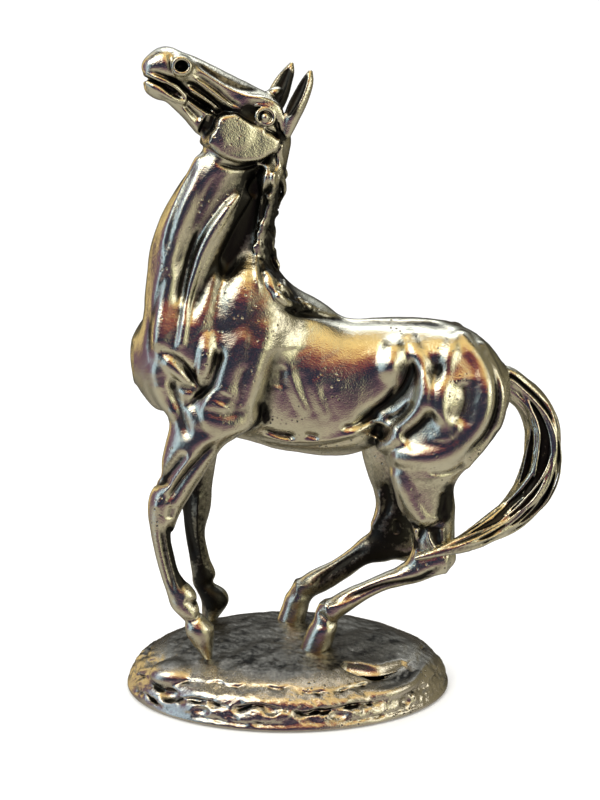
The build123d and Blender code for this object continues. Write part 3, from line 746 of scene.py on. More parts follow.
def shape_mane(clay):
    """Ragged locks that run down the crest and hang to both sides of it."""
    random = np.random.default_rng(11)
    outline = smooth_path([(x, z, 0) for x, z in MANE], 1)
    locks = 84
    for lock in range(locks):
        start = (lock + random.uniform(0, 1)) / locks
        inset = random.uniform(-0.6, 3) + start * random.uniform(-1, 4)
        span = random.uniform(0.10, 0.22)
        bow = random.uniform(-0.8, 1.6)
        over = random.uniform(-0.8, 2.8)
        girth = random.uniform(0.7, 1.1) * (1 + 0.7 * start)
        points = []
        for t in np.linspace(0, 1, 6):
            n = min(int((start + span * t) * (len(outline) - 1)), len(outline) - 1)
            x, z, _ = outline[n]
            x = x - inset + bow * math.sin(math.pi * t) + 0.5 * math.sin(9 * t + lock)
            y = flanks.surface(-1, x, z) - 0.8 if over < 1 else over - 0.5 + 2 * t
            points.append((x, y, z - 1.2 * t, girth * (1.1 - 0.7 * t)))
        clay.strand(points, 1.5)


# ---- head, in its own frame: x along the head, y across it ----
HEAD_YAW = math.radians(15)
HEAD_PIVOT = (-6, -5.5)


def shape_head(clay):
    """Skull, muzzle, jaw, cheeks, eyes, nostrils, mouth, ears and forelock."""
    clay.set_turn(HEAD_PIVOT, HEAD_YAW)
    # skull and bridge of the nose
    clay.cord([(-4, 0, 225.2, 9), (-9, 0, 227.8, 8.8), (-16, 0, 232.2, 7.8), (-24, 0, 237, 6.8),
               (-31, 0, 240.6, 6.3), (-37, 0, 242.8, 6)], 3, spacing=1.5)
    clay.ball((-38, 0, 242.6), (6.4, 6, 6.2), 2)
    clay.ball((-41.6, 0, 242.2), (4.6, 4.8, 4.2), 1.5)
    # lower jaw and chin
    clay.cord([(-8, 0, 217, 6), (-19, 0, 219.8, 5), (-25, 0, 224.5, 4.4), (-31, 0, 229.6, 4),
               (-36, 0, 233.2, 3.4)], 2)
    clay.ball((-40.6, 0, 234.4), (5.2, 4.4, 3.3), 1.2, pitch=-22)
    for side in (-1, 1):
        cheek(clay, side)
        mouth(clay, side)
        nostril(clay, side)
        eye(clay, side)
        ear(clay, side)
    clay.ball((1.8, 0, 233.6), (3.4, 3, 2.2), 1, pitch=20)
    clay.relief(FACE_RELIEF, (-50, -30, 205), (20, 30, 250))
    clay.cord([(-8, 0, 220, 4.5), (-18, 0, 221, 3.6), (-25, 0, 225.4, 3), (-32, 0, 231.4, 2.4)], 1)
    clay.stain_and_shade(FACE_STAIN, (-50, -30, 205), (20, 30, 250))
    clay.set_turn()


def cheek(clay, side):
    """The broad flat disc of the jaw."""
    clay.disc((-11.2, side * 4, 217.8), (13.2, 8.9), 5.8, 1, pitch=-8)
    clay.disc((-15, side * 4, 220.2), (6.8, 6.4), 5.7, 1.5)


def mouth(clay, side):
    """The slit between the lips, a little open at its corner, with a rim along each lip."""
    upper_lip = [(-44.6, 2.6, 239.8, 0.8), (-41, 4.5, 238.2, 1.1), (-35.5, 5, 235.4, 1.1),
                 (-31.6, 4.4, 232, 1)]
    lower_lip = [(-44.6, 2.4, 236.6, 0.9), (-41, 4, 234.4, 1.2), (-36, 4.6, 231.4, 1),
                 (-32.4, 4.2, 230.2, 0.9)]
    corner = [(-39, 5.4, 235.6, 0.9), (-36, 5.6, 233.6, 1.3), (-33.6, 5.4, 232, 0.9)]
    for lip in (upper_lip, lower_lip):
        clay.cord(on_side(lip, side), 1, spacing=1.2)
    clay.ball((-40.4, side * 6.4, 236.3), (7.6, 5, 0.34), 0.3, pitch=-26.6, cut=True)
    clay.cord(on_side(corner, side), 0.3, spacing=1, cut=True)


def nostril(clay, side):
    """A raised ring round a deep hole."""
    clay.ball((-33, side * 4.6, 241.8), (4.6, 2.9, 4.4), 1)
    clay.cord(ring((-33.2, side * 7, 242.3), 2.9, 2.5, 1), 0.8, spacing=0.9)
    clay.ball((-33.2, side * 8, 242.3), (2.3, 4.2, 1.9), 0.5, cut=True)


def eye(clay, side):
    """Socket, lids, eyeball and brow."""
    clay.ball((-5, side * 6.4, 225), (5.4, 3.4, 4), 1.2, pitch=-10)
    clay.ball((-8.6, side * 10, 226.4), (5.2, 2.6, 2.6), 0.6, pitch=-14, cut=True)
    clay.cord(ring((-4, side * 9.7, 225), 3.3, 2.9, 0.7), 0.3, spacing=0.8)
    clay.ball((-4, side * 10.2, 225), (2.4, 1.2, 2.1), 0.2, cut=True)
    clay.ball((-3.9, side * 8.9, 225), (1.9, 2, 1.8), 0.1)
    brow = [(-16, 6.2, 230.6, 0.9), (-10, 7.4, 231.2, 1.3), (-4, 8, 230.6, 1.7), (0.4, 8.4, 228.2, 1.7),
            (2.2, 8.2, 224.4, 1.3), (2.8, 7.6, 220.8, 0.9)]
    fold = [(-7, 9, 229.2, 0.5), (-3, 9.6, 229, 0.6), (0.4, 9.4, 226.8, 0.6), (1, 9, 223.6, 0.5)]
    clay.cord(on_side(brow, side), 1, spacing=1.2)
    clay.cord(on_side(fold, side), 0.5, spacing=1)


def ring(centre, half_x, half_z, thick):
    """Points of an oval ring that faces sideways."""
    x, y, z = centre
    angles = np.linspace(0, 2 * math.pi, 17)
    return [(x + half_x * math.cos(a), y, z + half_z * math.sin(a), thick) for a in angles]


def on_side(points, side):
    """Points (x, distance from the middle, z, radius) put on one side of the head."""
    return [(x, side * y, z, radius) for x, y, z, radius in points]


def ear(clay, side):
    """A pricked ear, cupped towards the front; the right one is turned a little more forward."""
    if side < 0:
        leaf = [(4.6, 7.4, 219.5, 1.8), (6.2, 8, 225, 2.9), (9.6, 8.6, 232.5, 2.9), (12, 8.8, 238, 2),
                (12.8, 8.8, 240.6, 1)]
        scoop = [(4.4, 10.2, 226.5, 1), (7, 10.8, 232, 1.9), (9.4, 10.6, 236.4, 1.4),
                 (11, 10, 239, 0.6)]
    else:
        leaf = [(2.6, 6.2, 227, 2.8), (4.6, 6.6, 232.5, 3.8), (6.9, 7, 237.5, 3.2), (9.2, 7, 241.8, 2),
                (10, 7, 244, 1)]
        scoop = [(2.8, 3.2, 231.5, 1.8), (5.1, 3.6, 236.5, 2.4), (7.4, 4.4, 240.6, 1.5),
                 (8.6, 5.2, 242.8, 0.6)]
    clay.cord(on_side(leaf, side), 0.9, spacing=1.2)
    clay.cord(on_side(scoop, side), 0.4, spacing=1.2, cut=True)


FACE_RELIEF = [
    (-0.9, 0.8, [(-28, 244), (-21, 238.6), (-13.5, 235), (-4, 233.8)]),
    (0.8, 1, [(-28, 242), (-18.5, 236), (-10, 232.4), (-1, 231)]),
    (-1.2, 1, [(-30, 240.2), (-25, 237.6), (-20.5, 234.4), (-16, 230.5), (-11, 227.6)]),
    (0.9, 0.9, [(-29.5, 238.4), (-22.5, 233.4), (-15, 228.5)]),
    (-1.9, 1.2, [(-33, 237.6), (-28, 235.8), (-23, 232.2), (-18, 228), (-14.5, 226)]),
    (0.9, 0.9, [(-31.5, 235), (-25, 231.4), (-19, 227.4)]),
    (-1.4, 1, [(-31.5, 233), (-27, 230), (-21.5, 227)]),
    (0.8, 0.9, [(-32, 231.8), (-27, 227.6), (-20, 224.8)]),
    (-1.4, 1.2, [(-32, 230), (-29, 227), (-25.5, 224)]),
    (-2.2, 2, [(-26, 223), (-21.5, 221)]),
    (0.9, 1, [(-33.5, 229.6), (-29.5, 223.8), (-25.5, 217), (-22.5, 213)]),
    (-0.9, 0.7, [(-21, 225.5), (-17.4, 227.2), (-8, 222.9), (-1, 220.6)]),
    (-1.5, 0.9, [(-4.5, 220.9), (-1, 219.6), (1.8, 217.6)]),
    (-1.2, 0.9, [(-22, 209.6), (-13, 207.3), (-5, 209.2), (0.5, 213.6)]),
    (-0.5, 0.8, [(-37.5, 247), (-37, 243.5), (-35.5, 239.4)]),
    (-0.5, 0.7, [(-44, 240.8), (-39, 238.9), (-34, 236.6)]),
]

FACE_STAIN = [
    (4.5, 2.2, [(-33.2, 242.3)]),
    (4.5, 2.6, [(2.6, 226), (4.4, 232), (7.4, 238.4), (9.5, 244)]),
    (3.6, 1.5, [(5.2, 223), (7.2, 231), (9.8, 237.6), (11.5, 242)]),
    (1.9, 2.4, [(-31, 245), (-22, 240.5), (-10, 236), (-1, 234)]),
    (2.4, 2.6, [(-10, 227.2)]),
    (1.6, 2, [(-12, 228), (-8, 226.6)]),
    (1.2, 2.6, [(-27, 224), (-22, 221.5)]),
    (0.8, 1.4, [(-30, 238), (-22, 233.6), (-14, 229)]),
]

# ---- reliefs: (height, width, points in x and z) ----
CHEST = [
    (-0.9, 1.5, [(-43.5, 172), (-48.5, 156), (-50.5, 145), (-50.5, 135)]),
    (-0.6, 1.4, [(-38.5, 158), (-41, 146), (-42.5, 139.5)]),
    (-1.6, 1.4, [(-48, 141), (-42.5, 140), (-38, 136.5), (-33.5, 128.5), (-30.5, 125.5)]),
    (-1.8, 1.5, [(-24, 144), (-25.5, 136), (-29, 127), (-35, 122), (-38.5, 118)]),
    (-1.4, 1.9, [(-43, 134), (-41.5, 124), (-38.5, 115.5), (-36, 107)]),
    (-0.5, 1.6, [(-35.5, 123), (-32, 115), (-30, 108)]),
    (-0.5, 1.8, [(-13.5, 137), (-17, 130), (-17, 124), (-20, 118)]),
    (-0.8, 2.4, [(-22, 126), (-24.5, 121.5)]),
    (-0.4, 1.6, [(-31.5, 119.5), (-25, 117.6), (-18, 118.4), (-11.5, 121)]),
    (-1.3, 2.8, [(-3, 142), (-6, 132), (-8, 121), (-9.5, 110)]),
    (-0.8, 3, [(-1.5, 135), (-3.5, 126)]),
    (-1.2, 1, [(-9.5, 122), (-10, 115), (-15, 109.5), (-22, 107.5)]),
]
RIBS = [
    (1.3, 9, [(-12, 104), (4, 102), (20, 103), (36, 108)]),
    (-0.5, 1.9, [(-3, 137), (-1, 126.5), (4.5, 114)]),
    (0.6, 1.9, [(0.5, 136), (3, 126), (8.5, 114.5)]),
    (-0.5, 1.9, [(4.5, 134), (7.5, 123.5), (12, 113.5)]),
    (0.4, 1.9, [(9, 131), (12, 121.5), (16, 113)]),
    (-0.3, 1.9, [(13.5, 128), (16, 120), (19.5, 113)]),
    (-1.8, 1.1, [(-9.5, 109.5), (-3.5, 107), (4, 106)]),
    (-1.4, 0.9, [(6.5, 107.5), (12.5, 106)]),
    (-1.8, 1.2, [(19.5, 110), (26, 111), (36, 115)]),
    (-1, 1.2, [(-13.5, 104.5), (1, 102.5), (16.5, 103.5), (32.5, 108)]),
    (0.8, 1.6, [(-9.5, 106.5), (5, 103.5), (20.5, 106), (32.5, 110.5)]),
]
FLANK = [
    (2.2, 7, [(39.5, 136)]),
    (-2.8, 2.6, [(47.5, 139.5), (46.5, 131), (42.5, 123), (36, 117.5), (24.5, 110.5)]),
    (-1, 1.1, [(41.5, 127), (38, 120), (31, 115.5)]),
    (-1.2, 1.2, [(47.5, 122), (43, 116), (37, 112.5)]),
    (-1.6, 3.5, [(35.5, 111.5), (33.5, 105.5)]),
]
HAUNCH = [
    (-2.2, 3.8, [(57, 132.5)]),
    (-2.4, 3.8, [(56, 118), (50, 111.5), (42.5, 106)]),
    (-2, 3.4, [(65.5, 130), (66.5, 121), (63, 113)]),
    (0.7, 2, [(53, 108), (60, 108), (66, 113)]),
    (-1.2, 1.2, [(77.5, 134), (79, 123), (75.5, 110), (66, 100)]),
    (-1.1, 1.1, [(52.5, 94.5), (60, 93.5), (69.5, 98)]),
    (-0.8, 1, [(48, 91.5), (56, 90.5), (64, 93)]),
    (-1.2, 1.4, [(70, 93.5), (76, 101.5), (81, 111)]),
]
BACK = [
    (-1, 0.9, [(-9, 158.5), (-3, 156.5), (5, 153.5), (20, 149.8), (42.5, 148.3), (59.5, 147.2),
                 (68.5, 143)]),
]
LEFT_HIND = [
    (-1.5, 2, [(60, 86), (59.5, 79), (58, 74)]),
    (-1.3, 1.3, [(46.5, 73.5), (52, 70.2), (57.5, 72), (62, 77)]),
    (-1.1, 1.3, [(54, 70.5), (51.6, 67.5), (50.6, 63.5), (51.6, 59.5)]),
    (-1.6, 3.2, [(57.4, 68.2)]),
    (-0.7, 1.4, [(49, 58), (56.5, 59.6), (63, 62.5)]),
    (-1, 1.1, [(61, 56.5), (52, 50.4), (36, 46.2), (19, 38.8)]),
    (-0.8, 1, [(46, 53.5), (38, 51), (24.5, 45)]),
    (-0.8, 1, [(12, 35), (17, 31.5), (19, 29.5)]),
]
LEFT_FORE = [
    (-1.9, 1.7, [(-37, 103.5), (-43, 96), (-48, 88)]),
    (-2, 1.6, [(-25, 108), (-33.5, 99.5), (-41, 90), (-46, 82)]),
    (1.1, 1.8, [(-34, 103.5), (-41.5, 93.5), (-47, 85)]),
    (1, 3, [(-49, 82)]),
    (-1, 1.3, [(-43.5, 82), (-45, 76)]),
    (-1.3, 0.9, [(-48.4, 75), (-46.8, 61), (-43, 45)]),
    (-1.4, 1, [(-45.4, 75), (-44, 61), (-40.2, 46)]),
    (-0.8, 0.8, [(-43.2, 69), (-41.8, 58), (-38.4, 47)]),
    (-0.9, 0.8, [(-51, 87), (-47.5, 89.5), (-43, 91)]),
    (-0.9, 1, [(-39.5, 43.5), (-35, 41)]),
    (-0.9, 0.9, [(-40, 36.4), (-36, 35), (-33.5, 37.4), (-29, 35.5)]),
]
NECK_SIDE = [
    (-0.9, 1.3, [(-31, 211), (-39, 194), (-44.5, 175)]),
    (-0.9, 2, [(-24, 207), (-31, 194), (-37, 179), (-40.5, 167)]),
    (-2.8, 3.2, [(-9, 211), (-15, 196), (-21, 182.5), (-26.5, 172), (-31.5, 162), (-36.5, 150)]),
    (-2.2, 3.4, [(-9.5, 206), (-12, 193), (-16, 181), (-21, 173), (-26, 166)]),
    (-2.4, 2.4, [(-8.5, 209), (-10.5, 204), (-12.5, 196)]),
    (-1.2, 1.5, [(-31, 188), (-35.5, 176), (-38.5, 165), (-40.2, 156)]),
    (1, 1.2, [(-5.5, 212), (-8.5, 199), (-10.5, 186.5), (-11, 172.5), (-9.5, 160)]),
]
MANE_STAIN = [
    (4.2, 3.6, [(0.5, 212), (-1.5, 202), (-3.5, 192), (-6, 182), (-6, 172), (-4, 164), (0, 158.5),
                (7, 154), (17, 150.5)]),
    (1.6, 3, [(-9.5, 207), (-13, 199), (-19, 184)]),
]
# Places darkened beyond the grooves: patina left on, and painted shade where the sides turn away from
# the light, as at the back of the gaskin and the rear of the haunch.
DARK_PLACES = [
    (3.4, 3, [(62.5, 91), (61.5, 80), (60, 71)]),
    (2.8, 2.6, [(-45.5, 76), (-43.5, 61), (-40, 44)]),
    (2.6, 3, [(57.5, 72), (58.5, 63)]),
    (2.2, 1.3, [(62, 57), (52, 50.4), (36, 46.2), (22, 40.4)]),
    (1.8, 1.2, [(51.6, 70), (50.4, 65.5), (51, 60)]),
    (1.2, 2, [(84, 131), (85, 122), (83, 114), (80, 106)]),
    (1, 2.5, [(36, 108), (34, 100)]),
    (0.9, 2, [(-9, 116), (-12, 110)]),
]
# Painted shade on the inner sides of the right legs, which stand back between the legs.
INNER_SIDE_SHADE = [
    (2.6, 9, [(-34, 100), (-37, 92), (-37, 60), (-33, 18)]),
    (2.4, 8, [(-28, 28)]),
    (2.6, 10, [(46, 96), (44, 88), (45, 60), (20, 40), (3, 20)]),
]
RIGHT_HIND = [
    (-1, 1.4, [(39, 81.5), (41, 71), (39.5, 64.5)]),
    (1, 1.5, [(37, 77.5), (37.5, 68), (33, 58)]),
    (-1.2, 1.3, [(44, 64.5), (45, 58)]),
    (-0.9, 1.2, [(34, 52.5), (17.5, 40.5), (10, 34)]),
]
RIGHT_FORE = [
    (-1, 1.2, [(-40, 81), (-41, 64), (-38, 46.5)]),
    (1, 1.2, [(-36, 79), (-37, 59.5), (-35, 42)]),
]


def reliefs(clay):
    """Reliefs, stains and painted shade of both sides; the trunk and the neck have the same ones left
    and right.
    """
    for strokes in (CHEST, RIBS, FLANK, HAUNCH, BACK):
        clay.relief(strokes, (-62, -30, 92), (90, 2, 175))
        clay.relief(strokes, (-62, 3, 100), (90, 32, 175))
    clay.stain_and_shade(MANE_STAIN, (-20, -14, 150), (16, 20, 222))
    # patina left on, and painted shade on sides turned away from the light
    clay.stain_and_shade(DARK_PLACES, (-70, -30, 15), (95, 32, 150))
    # painted shade on the inner sides of the right legs
    clay.stain_and_shade(INNER_SIDE_SHADE, (-70, 4, 0), (95, 21, 105), fade=4.5)
    clay.relief(NECK_SIDE, (-60, -30, 150), (10, -5, 212))
    clay.relief(NECK_SIDE, (-60, -2, 150), (10, 20, 212))
    clay.relief(LEFT_HIND, (0, -20, 18), (75, 4, 92))
    clay.relief(LEFT_FORE, (-62, -30, 18), (-10, 2, 112))
    clay.relief(RIGHT_HIND, (0, 8, 18), (75, 32, 92))
    clay.relief(RIGHT_FORE, (-62, 8, 18), (-10, 32, 112))


# ---- tail ----
TAIL = [
    (80, 2.5, 126.5, 5.4), (85.5, 2.3, 125, 5.4), (90, 2, 121.8, 5.2), (94.2, 1.5, 118, 5.4),
    (97.6, 1, 113, 5.9), (99.8, 0, 106.5, 6.5), (100.3, -0.6, 98.5, 7), (99.3, -1.5, 90, 7.3),
    (95.6, -2.8, 81.5, 7.2), (89, -5, 74.3, 6.4), (81, -8, 69.3, 5.4), (72.5, -11.5, 65.5, 4.4),
    (65, -14, 63.2, 3.2), (57, -15.2, 61, 2), (49.5, -15.4, 58.8, 1.1),
]


def shape_tail(clay):
    """A core with locks of hair wound loosely round it."""
    path = smooth_path(TAIL, 3)
    clay.cord([(x, y, z, r * 0.7) for x, y, z, r in path], 2)
    random = np.random.default_rng(7)
    locks = 40
    for lock in range(locks):
        phase = 2 * math.pi * lock / locks + random.uniform(-0.2, 0.2)
        twist = random.uniform(-0.4, 2.8)
        girth = random.uniform(0.5, 1.15)
        wobble = random.uniform(0, 2 * math.pi)
        points = []
        for n, (x, y, z, r) in enumerate(path):
            t = n / (len(path) - 1)
            ahead = path[min(n + 1, len(path) - 1)][:3] - path[max(n - 1, 0)][:3]
            ahead /= np.linalg.norm(ahead)
            across = np.array([0.0, 1.0, 0.0]) - ahead[1] * ahead
            across /= np.linalg.norm(across)
            up = np.cross(ahead, across)
            angle = phase + twist * t + 0.35 * math.sin(8 * t + wobble)
            out = max(r - girth * 0.7, 0) * (1 + 0.10 * math.sin(13 * t + 2 * wobble))
            place = np.array([x, y, z]) + out * (math.cos(angle) * across + math.sin(angle) * up)
            points.append((*place, girth * (1.1 - 0.7 * t)))
        clay.strand(points)


# ---- materials ----
def new_material(name):
    """A node material with an empty tree."""
    material = bpy.data.materials.new(name)
    material.use_nodes = True
    tree = material.node_tree
    tree.nodes.clear()
    output = tree.nodes.new("ShaderNodeOutputMaterial")
    shader = tree.nodes.new("ShaderNodeBsdfPrincipled")
    tree.links.new(shader.outputs[0], output.inputs["Surface"])
    return material, tree, shader


def noise(tree, scale, detail=4.0, rough=0.6, coordinates=None):
    """A noise texture in object coordinates; the scale is per metre."""
    node = tree.nodes.new("ShaderNodeTexNoise")
    node.inputs["Scale"].default_value = scale
    node.inputs["Detail"].default_value = detail
    node.inputs["Roughness"].default_value = rough
    if coordinates is None:
        coordinates = tree.nodes.new("ShaderNodeTexCoord").outputs["Object"]
    tree.links.new(coordinates, node.inputs["Vector"])
    return node.outputs["Fac"]


def ramp(tree, value, stops):
    """A colour or grey ramp; stops are (place, (r, g, b))."""
    node = tree.nodes.new("ShaderNodeValToRGB")
    tree.links.new(value, node.inputs[0])
    points = node.color_ramp.elements
    while len(points) < len(stops):
        points.new(0.5)
    for point, (place, colour) in zip(points, stops):
        point.position = place
        point.color = (*colour, 1)
    return node.outputs[0]


def grey(value):
    """An equal-parts colour."""
    return (value, value, value)


def mix(tree, factor, a, b):
    """Mixes two colours or two grey values."""
    node = tree.nodes.new("ShaderNodeMix")
    node.data_type = "RGBA"
    for socket, value in ((node.inputs[0], factor), (node.inputs[6], a), (node.inputs[7], b)):
        if isinstance(value, bpy.types.NodeSocket):
            tree.links.new(value, socket)
        elif isinstance(value, tuple):
            socket.default_value = (*value, 1)
        else:
            socket.default_value = value
    return node.outputs[2]


def maths(tree, kind, a, b=0.0, c=0.0):
    """One arithmetic node."""
    node = tree.nodes.new("ShaderNodeMath")
    node.operation = kind
    for socket, value in zip(node.inputs, (a, b, c)):
        if isinstance(value, bpy.types.NodeSocket):
            tree.links.new(value, socket)
        else:
            socket.default_value = value
    return node.outputs[0]


def swing(tree, value, amount):
    """A noise value brought to swing about zero."""
    return maths(tree, "MULTIPLY", maths(tree, "SUBTRACT", value, 0.5), amount)


def attribute(tree, name):
    """A value carried by the mesh."""
    node = tree.nodes.new("ShaderNodeAttribute")
    node.attribute_name = name
    return node.outputs["Fac"]


def bump(tree, height, strength, distance):
    """A bump node; the distance is in metres."""
    node = tree.nodes.new("ShaderNodeBump")
    node.inputs["Strength"].default_value = strength
    node.inputs["Distance"].default_value = distance
    tree.links.new(height, node.inputs["Height"])
    return node.outputs["Normal"]


def patina_and_shade(tree, cloud, speckle, top_dirt):
    """How far the dark patina colour covers the metal: most in hollows, stains and painted shade, least
    on worn ridges.
    """
    dirt_and_shade = maths(tree, "MULTIPLY_ADD", attribute(tree, "stain_and_shade"), 0.16, attribute(tree, "hollow"))
    wander = maths(tree, "ADD", swing(tree, cloud, 0.25), swing(tree, speckle, 0.35))
    dirt_and_shade = maths(tree, "ADD", dirt_and_shade, wander)
    worn = ramp(tree, attribute(tree, "ridge"), [(0.20, grey(0)), (0.75, grey(0.30))])
    dirt_and_shade = maths(tree, "SUBTRACT", dirt_and_shade, worn)
    if top_dirt:
        facing = tree.nodes.new("ShaderNodeSeparateXYZ")
        tree.links.new(tree.nodes.new("ShaderNodeNewGeometry").outputs["Normal"], facing.inputs[0])
        flat = ramp(tree, facing.outputs["Z"], [(0.80, grey(0)), (0.97, grey(top_dirt))])
        dirt_and_shade = maths(tree, "ADD", dirt_and_shade, flat)
    return dirt_and_shade


def casting_pits(tree):
    """Small round holes, gathered in patches."""
    cells = tree.nodes.new("ShaderNodeTexVoronoi")
    cells.inputs["Scale"].default_value = 480
    tree.links.new(tree.nodes.new("ShaderNodeTexCoord").outputs["Object"], cells.inputs["Vector"])
    holes = ramp(tree, cells.outputs["Distance"], [(0.10, grey(1)), (0.26, grey(0))])
    patches = ramp(tree, noise(tree, 60, 3), [(0.50, grey(0)), (0.62, grey(1))])
    return maths(tree, "MULTIPLY", holes, patches)


def bronze(name, bright, dark, gloss, first_trace, full_cover, top_dirt=0.0):
    """Polished bronze; the dark patina colour, which also paints shade, shows from a first trace to
    full cover as the dirt and painted shade grow.
    """
    material, tree, shader = new_material(name)
    cloud, speckle, grain = noise(tree, 90, 5), noise(tree, 700, 4), noise(tree, 1700, 3)
    pits = casting_pits(tree)
    dirt_and_shade = patina_and_shade(tree, cloud, speckle, top_dirt)
    cover = ramp(tree, dirt_and_shade, [(first_trace, grey(0)), (full_cover, grey(1))])
    cover = maths(tree, "MAXIMUM", cover, maths(tree, "MULTIPLY", pits, 0.9))
    metal = ramp(tree, cloud, [(0.3, tuple(c * 0.84 for c in bright)), (0.7, bright)])
    tree.links.new(mix(tree, cover, metal, dark), shader.inputs["Base Color"])
    shader.inputs["Metallic"].default_value = 1.0
    polish = ramp(tree, speckle, [(0.3, grey(gloss * 0.7)), (0.7, grey(gloss * 1.4))])
    tree.links.new(mix(tree, cover, polish, grey(0.40)), shader.inputs["Roughness"])
    height = maths(tree, "MULTIPLY_ADD", speckle, 0.6, grain)
    height = maths(tree, "MULTIPLY_ADD", pits, -1.8, height)
    tree.links.new(bump(tree, height, 0.6, 0.00019), shader.inputs["Normal"])
    return material


polished = bronze(
    "polished_bronze", bright=(0.70, 0.67, 0.53), dark=(0.026, 0.025, 0.021), gloss=0.10,
    first_trace=0.14, full_cover=0.48,
)
rocky = bronze(
    "patinated_bronze", bright=(0.62, 0.58, 0.49), dark=(0.022, 0.021, 0.018), gloss=0.20,
    first_trace=0.06, full_cover=0.50, top_dirt=0.36,
)


def plain_metal(name, colour, roughness):
    """Turned or rolled metal with fine grain."""
    material, tree, shader = new_material(name)
    grain = noise(tree, 1500, 3)
    tone = ramp(tree, grain, [(0.3, tuple(c * 0.85 for c in colour)), (0.7, colour)])
    tree.links.new(tone, shader.inputs["Base Color"])
    shader.inputs["Metallic"].default_value = 1.0
    finish = ramp(tree, grain, [(0.3, grey(roughness)), (0.7, grey(roughness * 1.3))])
    tree.links.new(finish, shader.inputs["Roughness"])
    tree.links.new(bump(tree, grain, 0.2, 0.0001), shader.inputs["Normal"])
    return material


def felt():
    """Dark green wool felt."""
    material, tree, shader = new_material("felt")
    fibre = noise(tree, 2500, 6, 0.8)
    cloud = noise(tree, 120, 3)
    tone = ramp(tree, fibre, [(0.3, (0.010, 0.026, 0.014)), (0.7, (0.035, 0.075, 0.042))])
    tree.links.new(mix(tree, cloud, tone, (0.02, 0.05, 0.03)), shader.inputs["Base Color"])
    shader.inputs["Roughness"].default_value = 0.95
    shader.inputs["Sheen Weight"].default_value = 0.6
    tree.links.new(bump(tree, fibre, 0.8, 0.0004), shader.inputs["Normal"])
    return material


# ---- plinth ----
def wave_noise(x, y, z, scale, seed, octaves=3):
    """Smooth seeded noise from a few crossing waves, between about -1 and 1."""
    random = np.random.default_rng(seed)
    total, weight = 0, 0
    for octave in range(octaves):
        pitch = 2**octave / scale
        for _ in range(4):
            direction = random.normal(size=3)
            direction /= np.linalg.norm(direction)
            bend = random.normal(size=3) * 0.6
            phase, wander = random.uniform(0, 2 * math.pi, 2)
            along = direction[0] * x + direction[1] * y + direction[2] * z
            side = bend[0] * x + bend[1] * y + bend[2] * z
            wobble = 1.7 * np.sin(pitch * 3 * side + wander)
            total = total + np.sin(2 * math.pi * pitch * along + phase + wobble) / 2**octave
            weight += 0.62 / 2**octave
    return total / weight


LEDGE = 5.4  # height of one rock ledge
CEILING = 5.5  # how deep below the plinth's top its hollow ends


def ledges(level):
    """How far worn ledges stand out, with a ledge from each whole level to the next."""
    step = level - np.floor(level)
    bulge = 0.8 * np.sin(math.pi * step)
    foot = 1.5 * np.exp(-((step / 0.14) ** 2))
    brow = 1.1 * np.exp(-(((step - 1) / 0.10) ** 2))
    return bulge - foot - brow


def shape_rocks(clay):
    """A boulder, a ridge below a gully, and round pits in the side."""
    clay.ball((-44, -20, 13), (10, 7.5, 5), 1.6)
    clay.cord([(20, -28, 9.5, 2), (28, -31.5, 9.5, 2.6), (37, -31.5, 9.8, 2.6), (46, -26.5, 10.4, 2.4),
               (54, -12, 11.4, 1.8)], 1.2)
    clay.cord([(24, -23.5, 16.6, 3), (36, -25.5, 16.2, 3.4), (46, -18, 16.6, 3)], 2, cut=True)
    pits = [(-34, -39, 6, 3.4), (20, -42, 6, 3.2), (-46, -29, 8, 3.4), (-6, -43, 8.5, 2.4),
            (47, -31, 6, 2.8)]
    for *centre, radius in pits:
        clay.ball(centre, (radius * 1.4, radius, radius * 0.8), 0.9, cut=True)


def shape_plinth(clay):
    """An oval mound with worn ledges round its side, lumps and pits, hollow below."""
    x, y, z = (a.astype(np.float32) for a in clay.axes)
    x, y, z = x[:, None, None], y[None, :, None], z[None, None, :]
    low, high = node_low("plinth", 2), PLINTH_TOP
    half_x, half_y = node_high("plinth", 0), node_high("plinth", 1)
    rise = np.clip((z - low) / (high - low), 0, 1.2)
    share = 1 - 0.24 * rise**2.2
    radius = np.sqrt((x / half_x) ** 2 + (y / half_y) ** 2)
    size = np.sqrt(x * x + y * y) / np.maximum(radius, 1e-3)
    rough = wave_noise(x, y, z, 26, 3)
    medium = wave_noise(x, y, z, 11, 4)
    fine = wave_noise(x, y, z, 4.5, 5)
    ledge = ledges((z - low - 2.0 + 1.8 * rough + 0.5 * medium) / LEDGE)
    strength = np.clip(0.55 + 0.9 * medium - 0.35 * y / half_y, 0.05, 1.3)
    side_weight = fade_in(radius - 0.60, 0.2) * fade_in(z - low - 1.2, 2.2)
    rock = 0.7 * rough + 0.8 * medium + 0.4 * fine + 0.9 - strength * ledge
    side = (radius - share) * size + side_weight * rock
    crown = 1.2 * (1 - np.clip(radius, 0, 1) ** 2) - 3.0 * fade_in(radius - 0.50, 0.4) ** 2
    top = z - (high - 0.9 + 0.5 * rough + 0.35 * medium + 0.12 * fine + crown)
    clay.field[:] = np.clip(smooth_max(side, top, 4.5), -FAR, FAR)
    shape_rocks(clay)
    hollow = np.maximum((radius - share * 0.90) * size + 1.0, z - (high - CEILING))
    clay.field[:] = np.maximum(clay.field, low - z)
    clay.field[:] = np.maximum(clay.field, -hollow)


# ---- build ----
PAST_SEAM = 3.0  # a piece's clay goes on this far past its seams
SEAT = 1.2  # depth of a hoof in the plinth's top


def above(z):
    """The plane that keeps what is above a level."""
    return (0, 0, z), (0, 0, -1)


def below(z):
    """The plane that keeps what is below a level."""
    return (0, 0, z), (0, 0, 1)


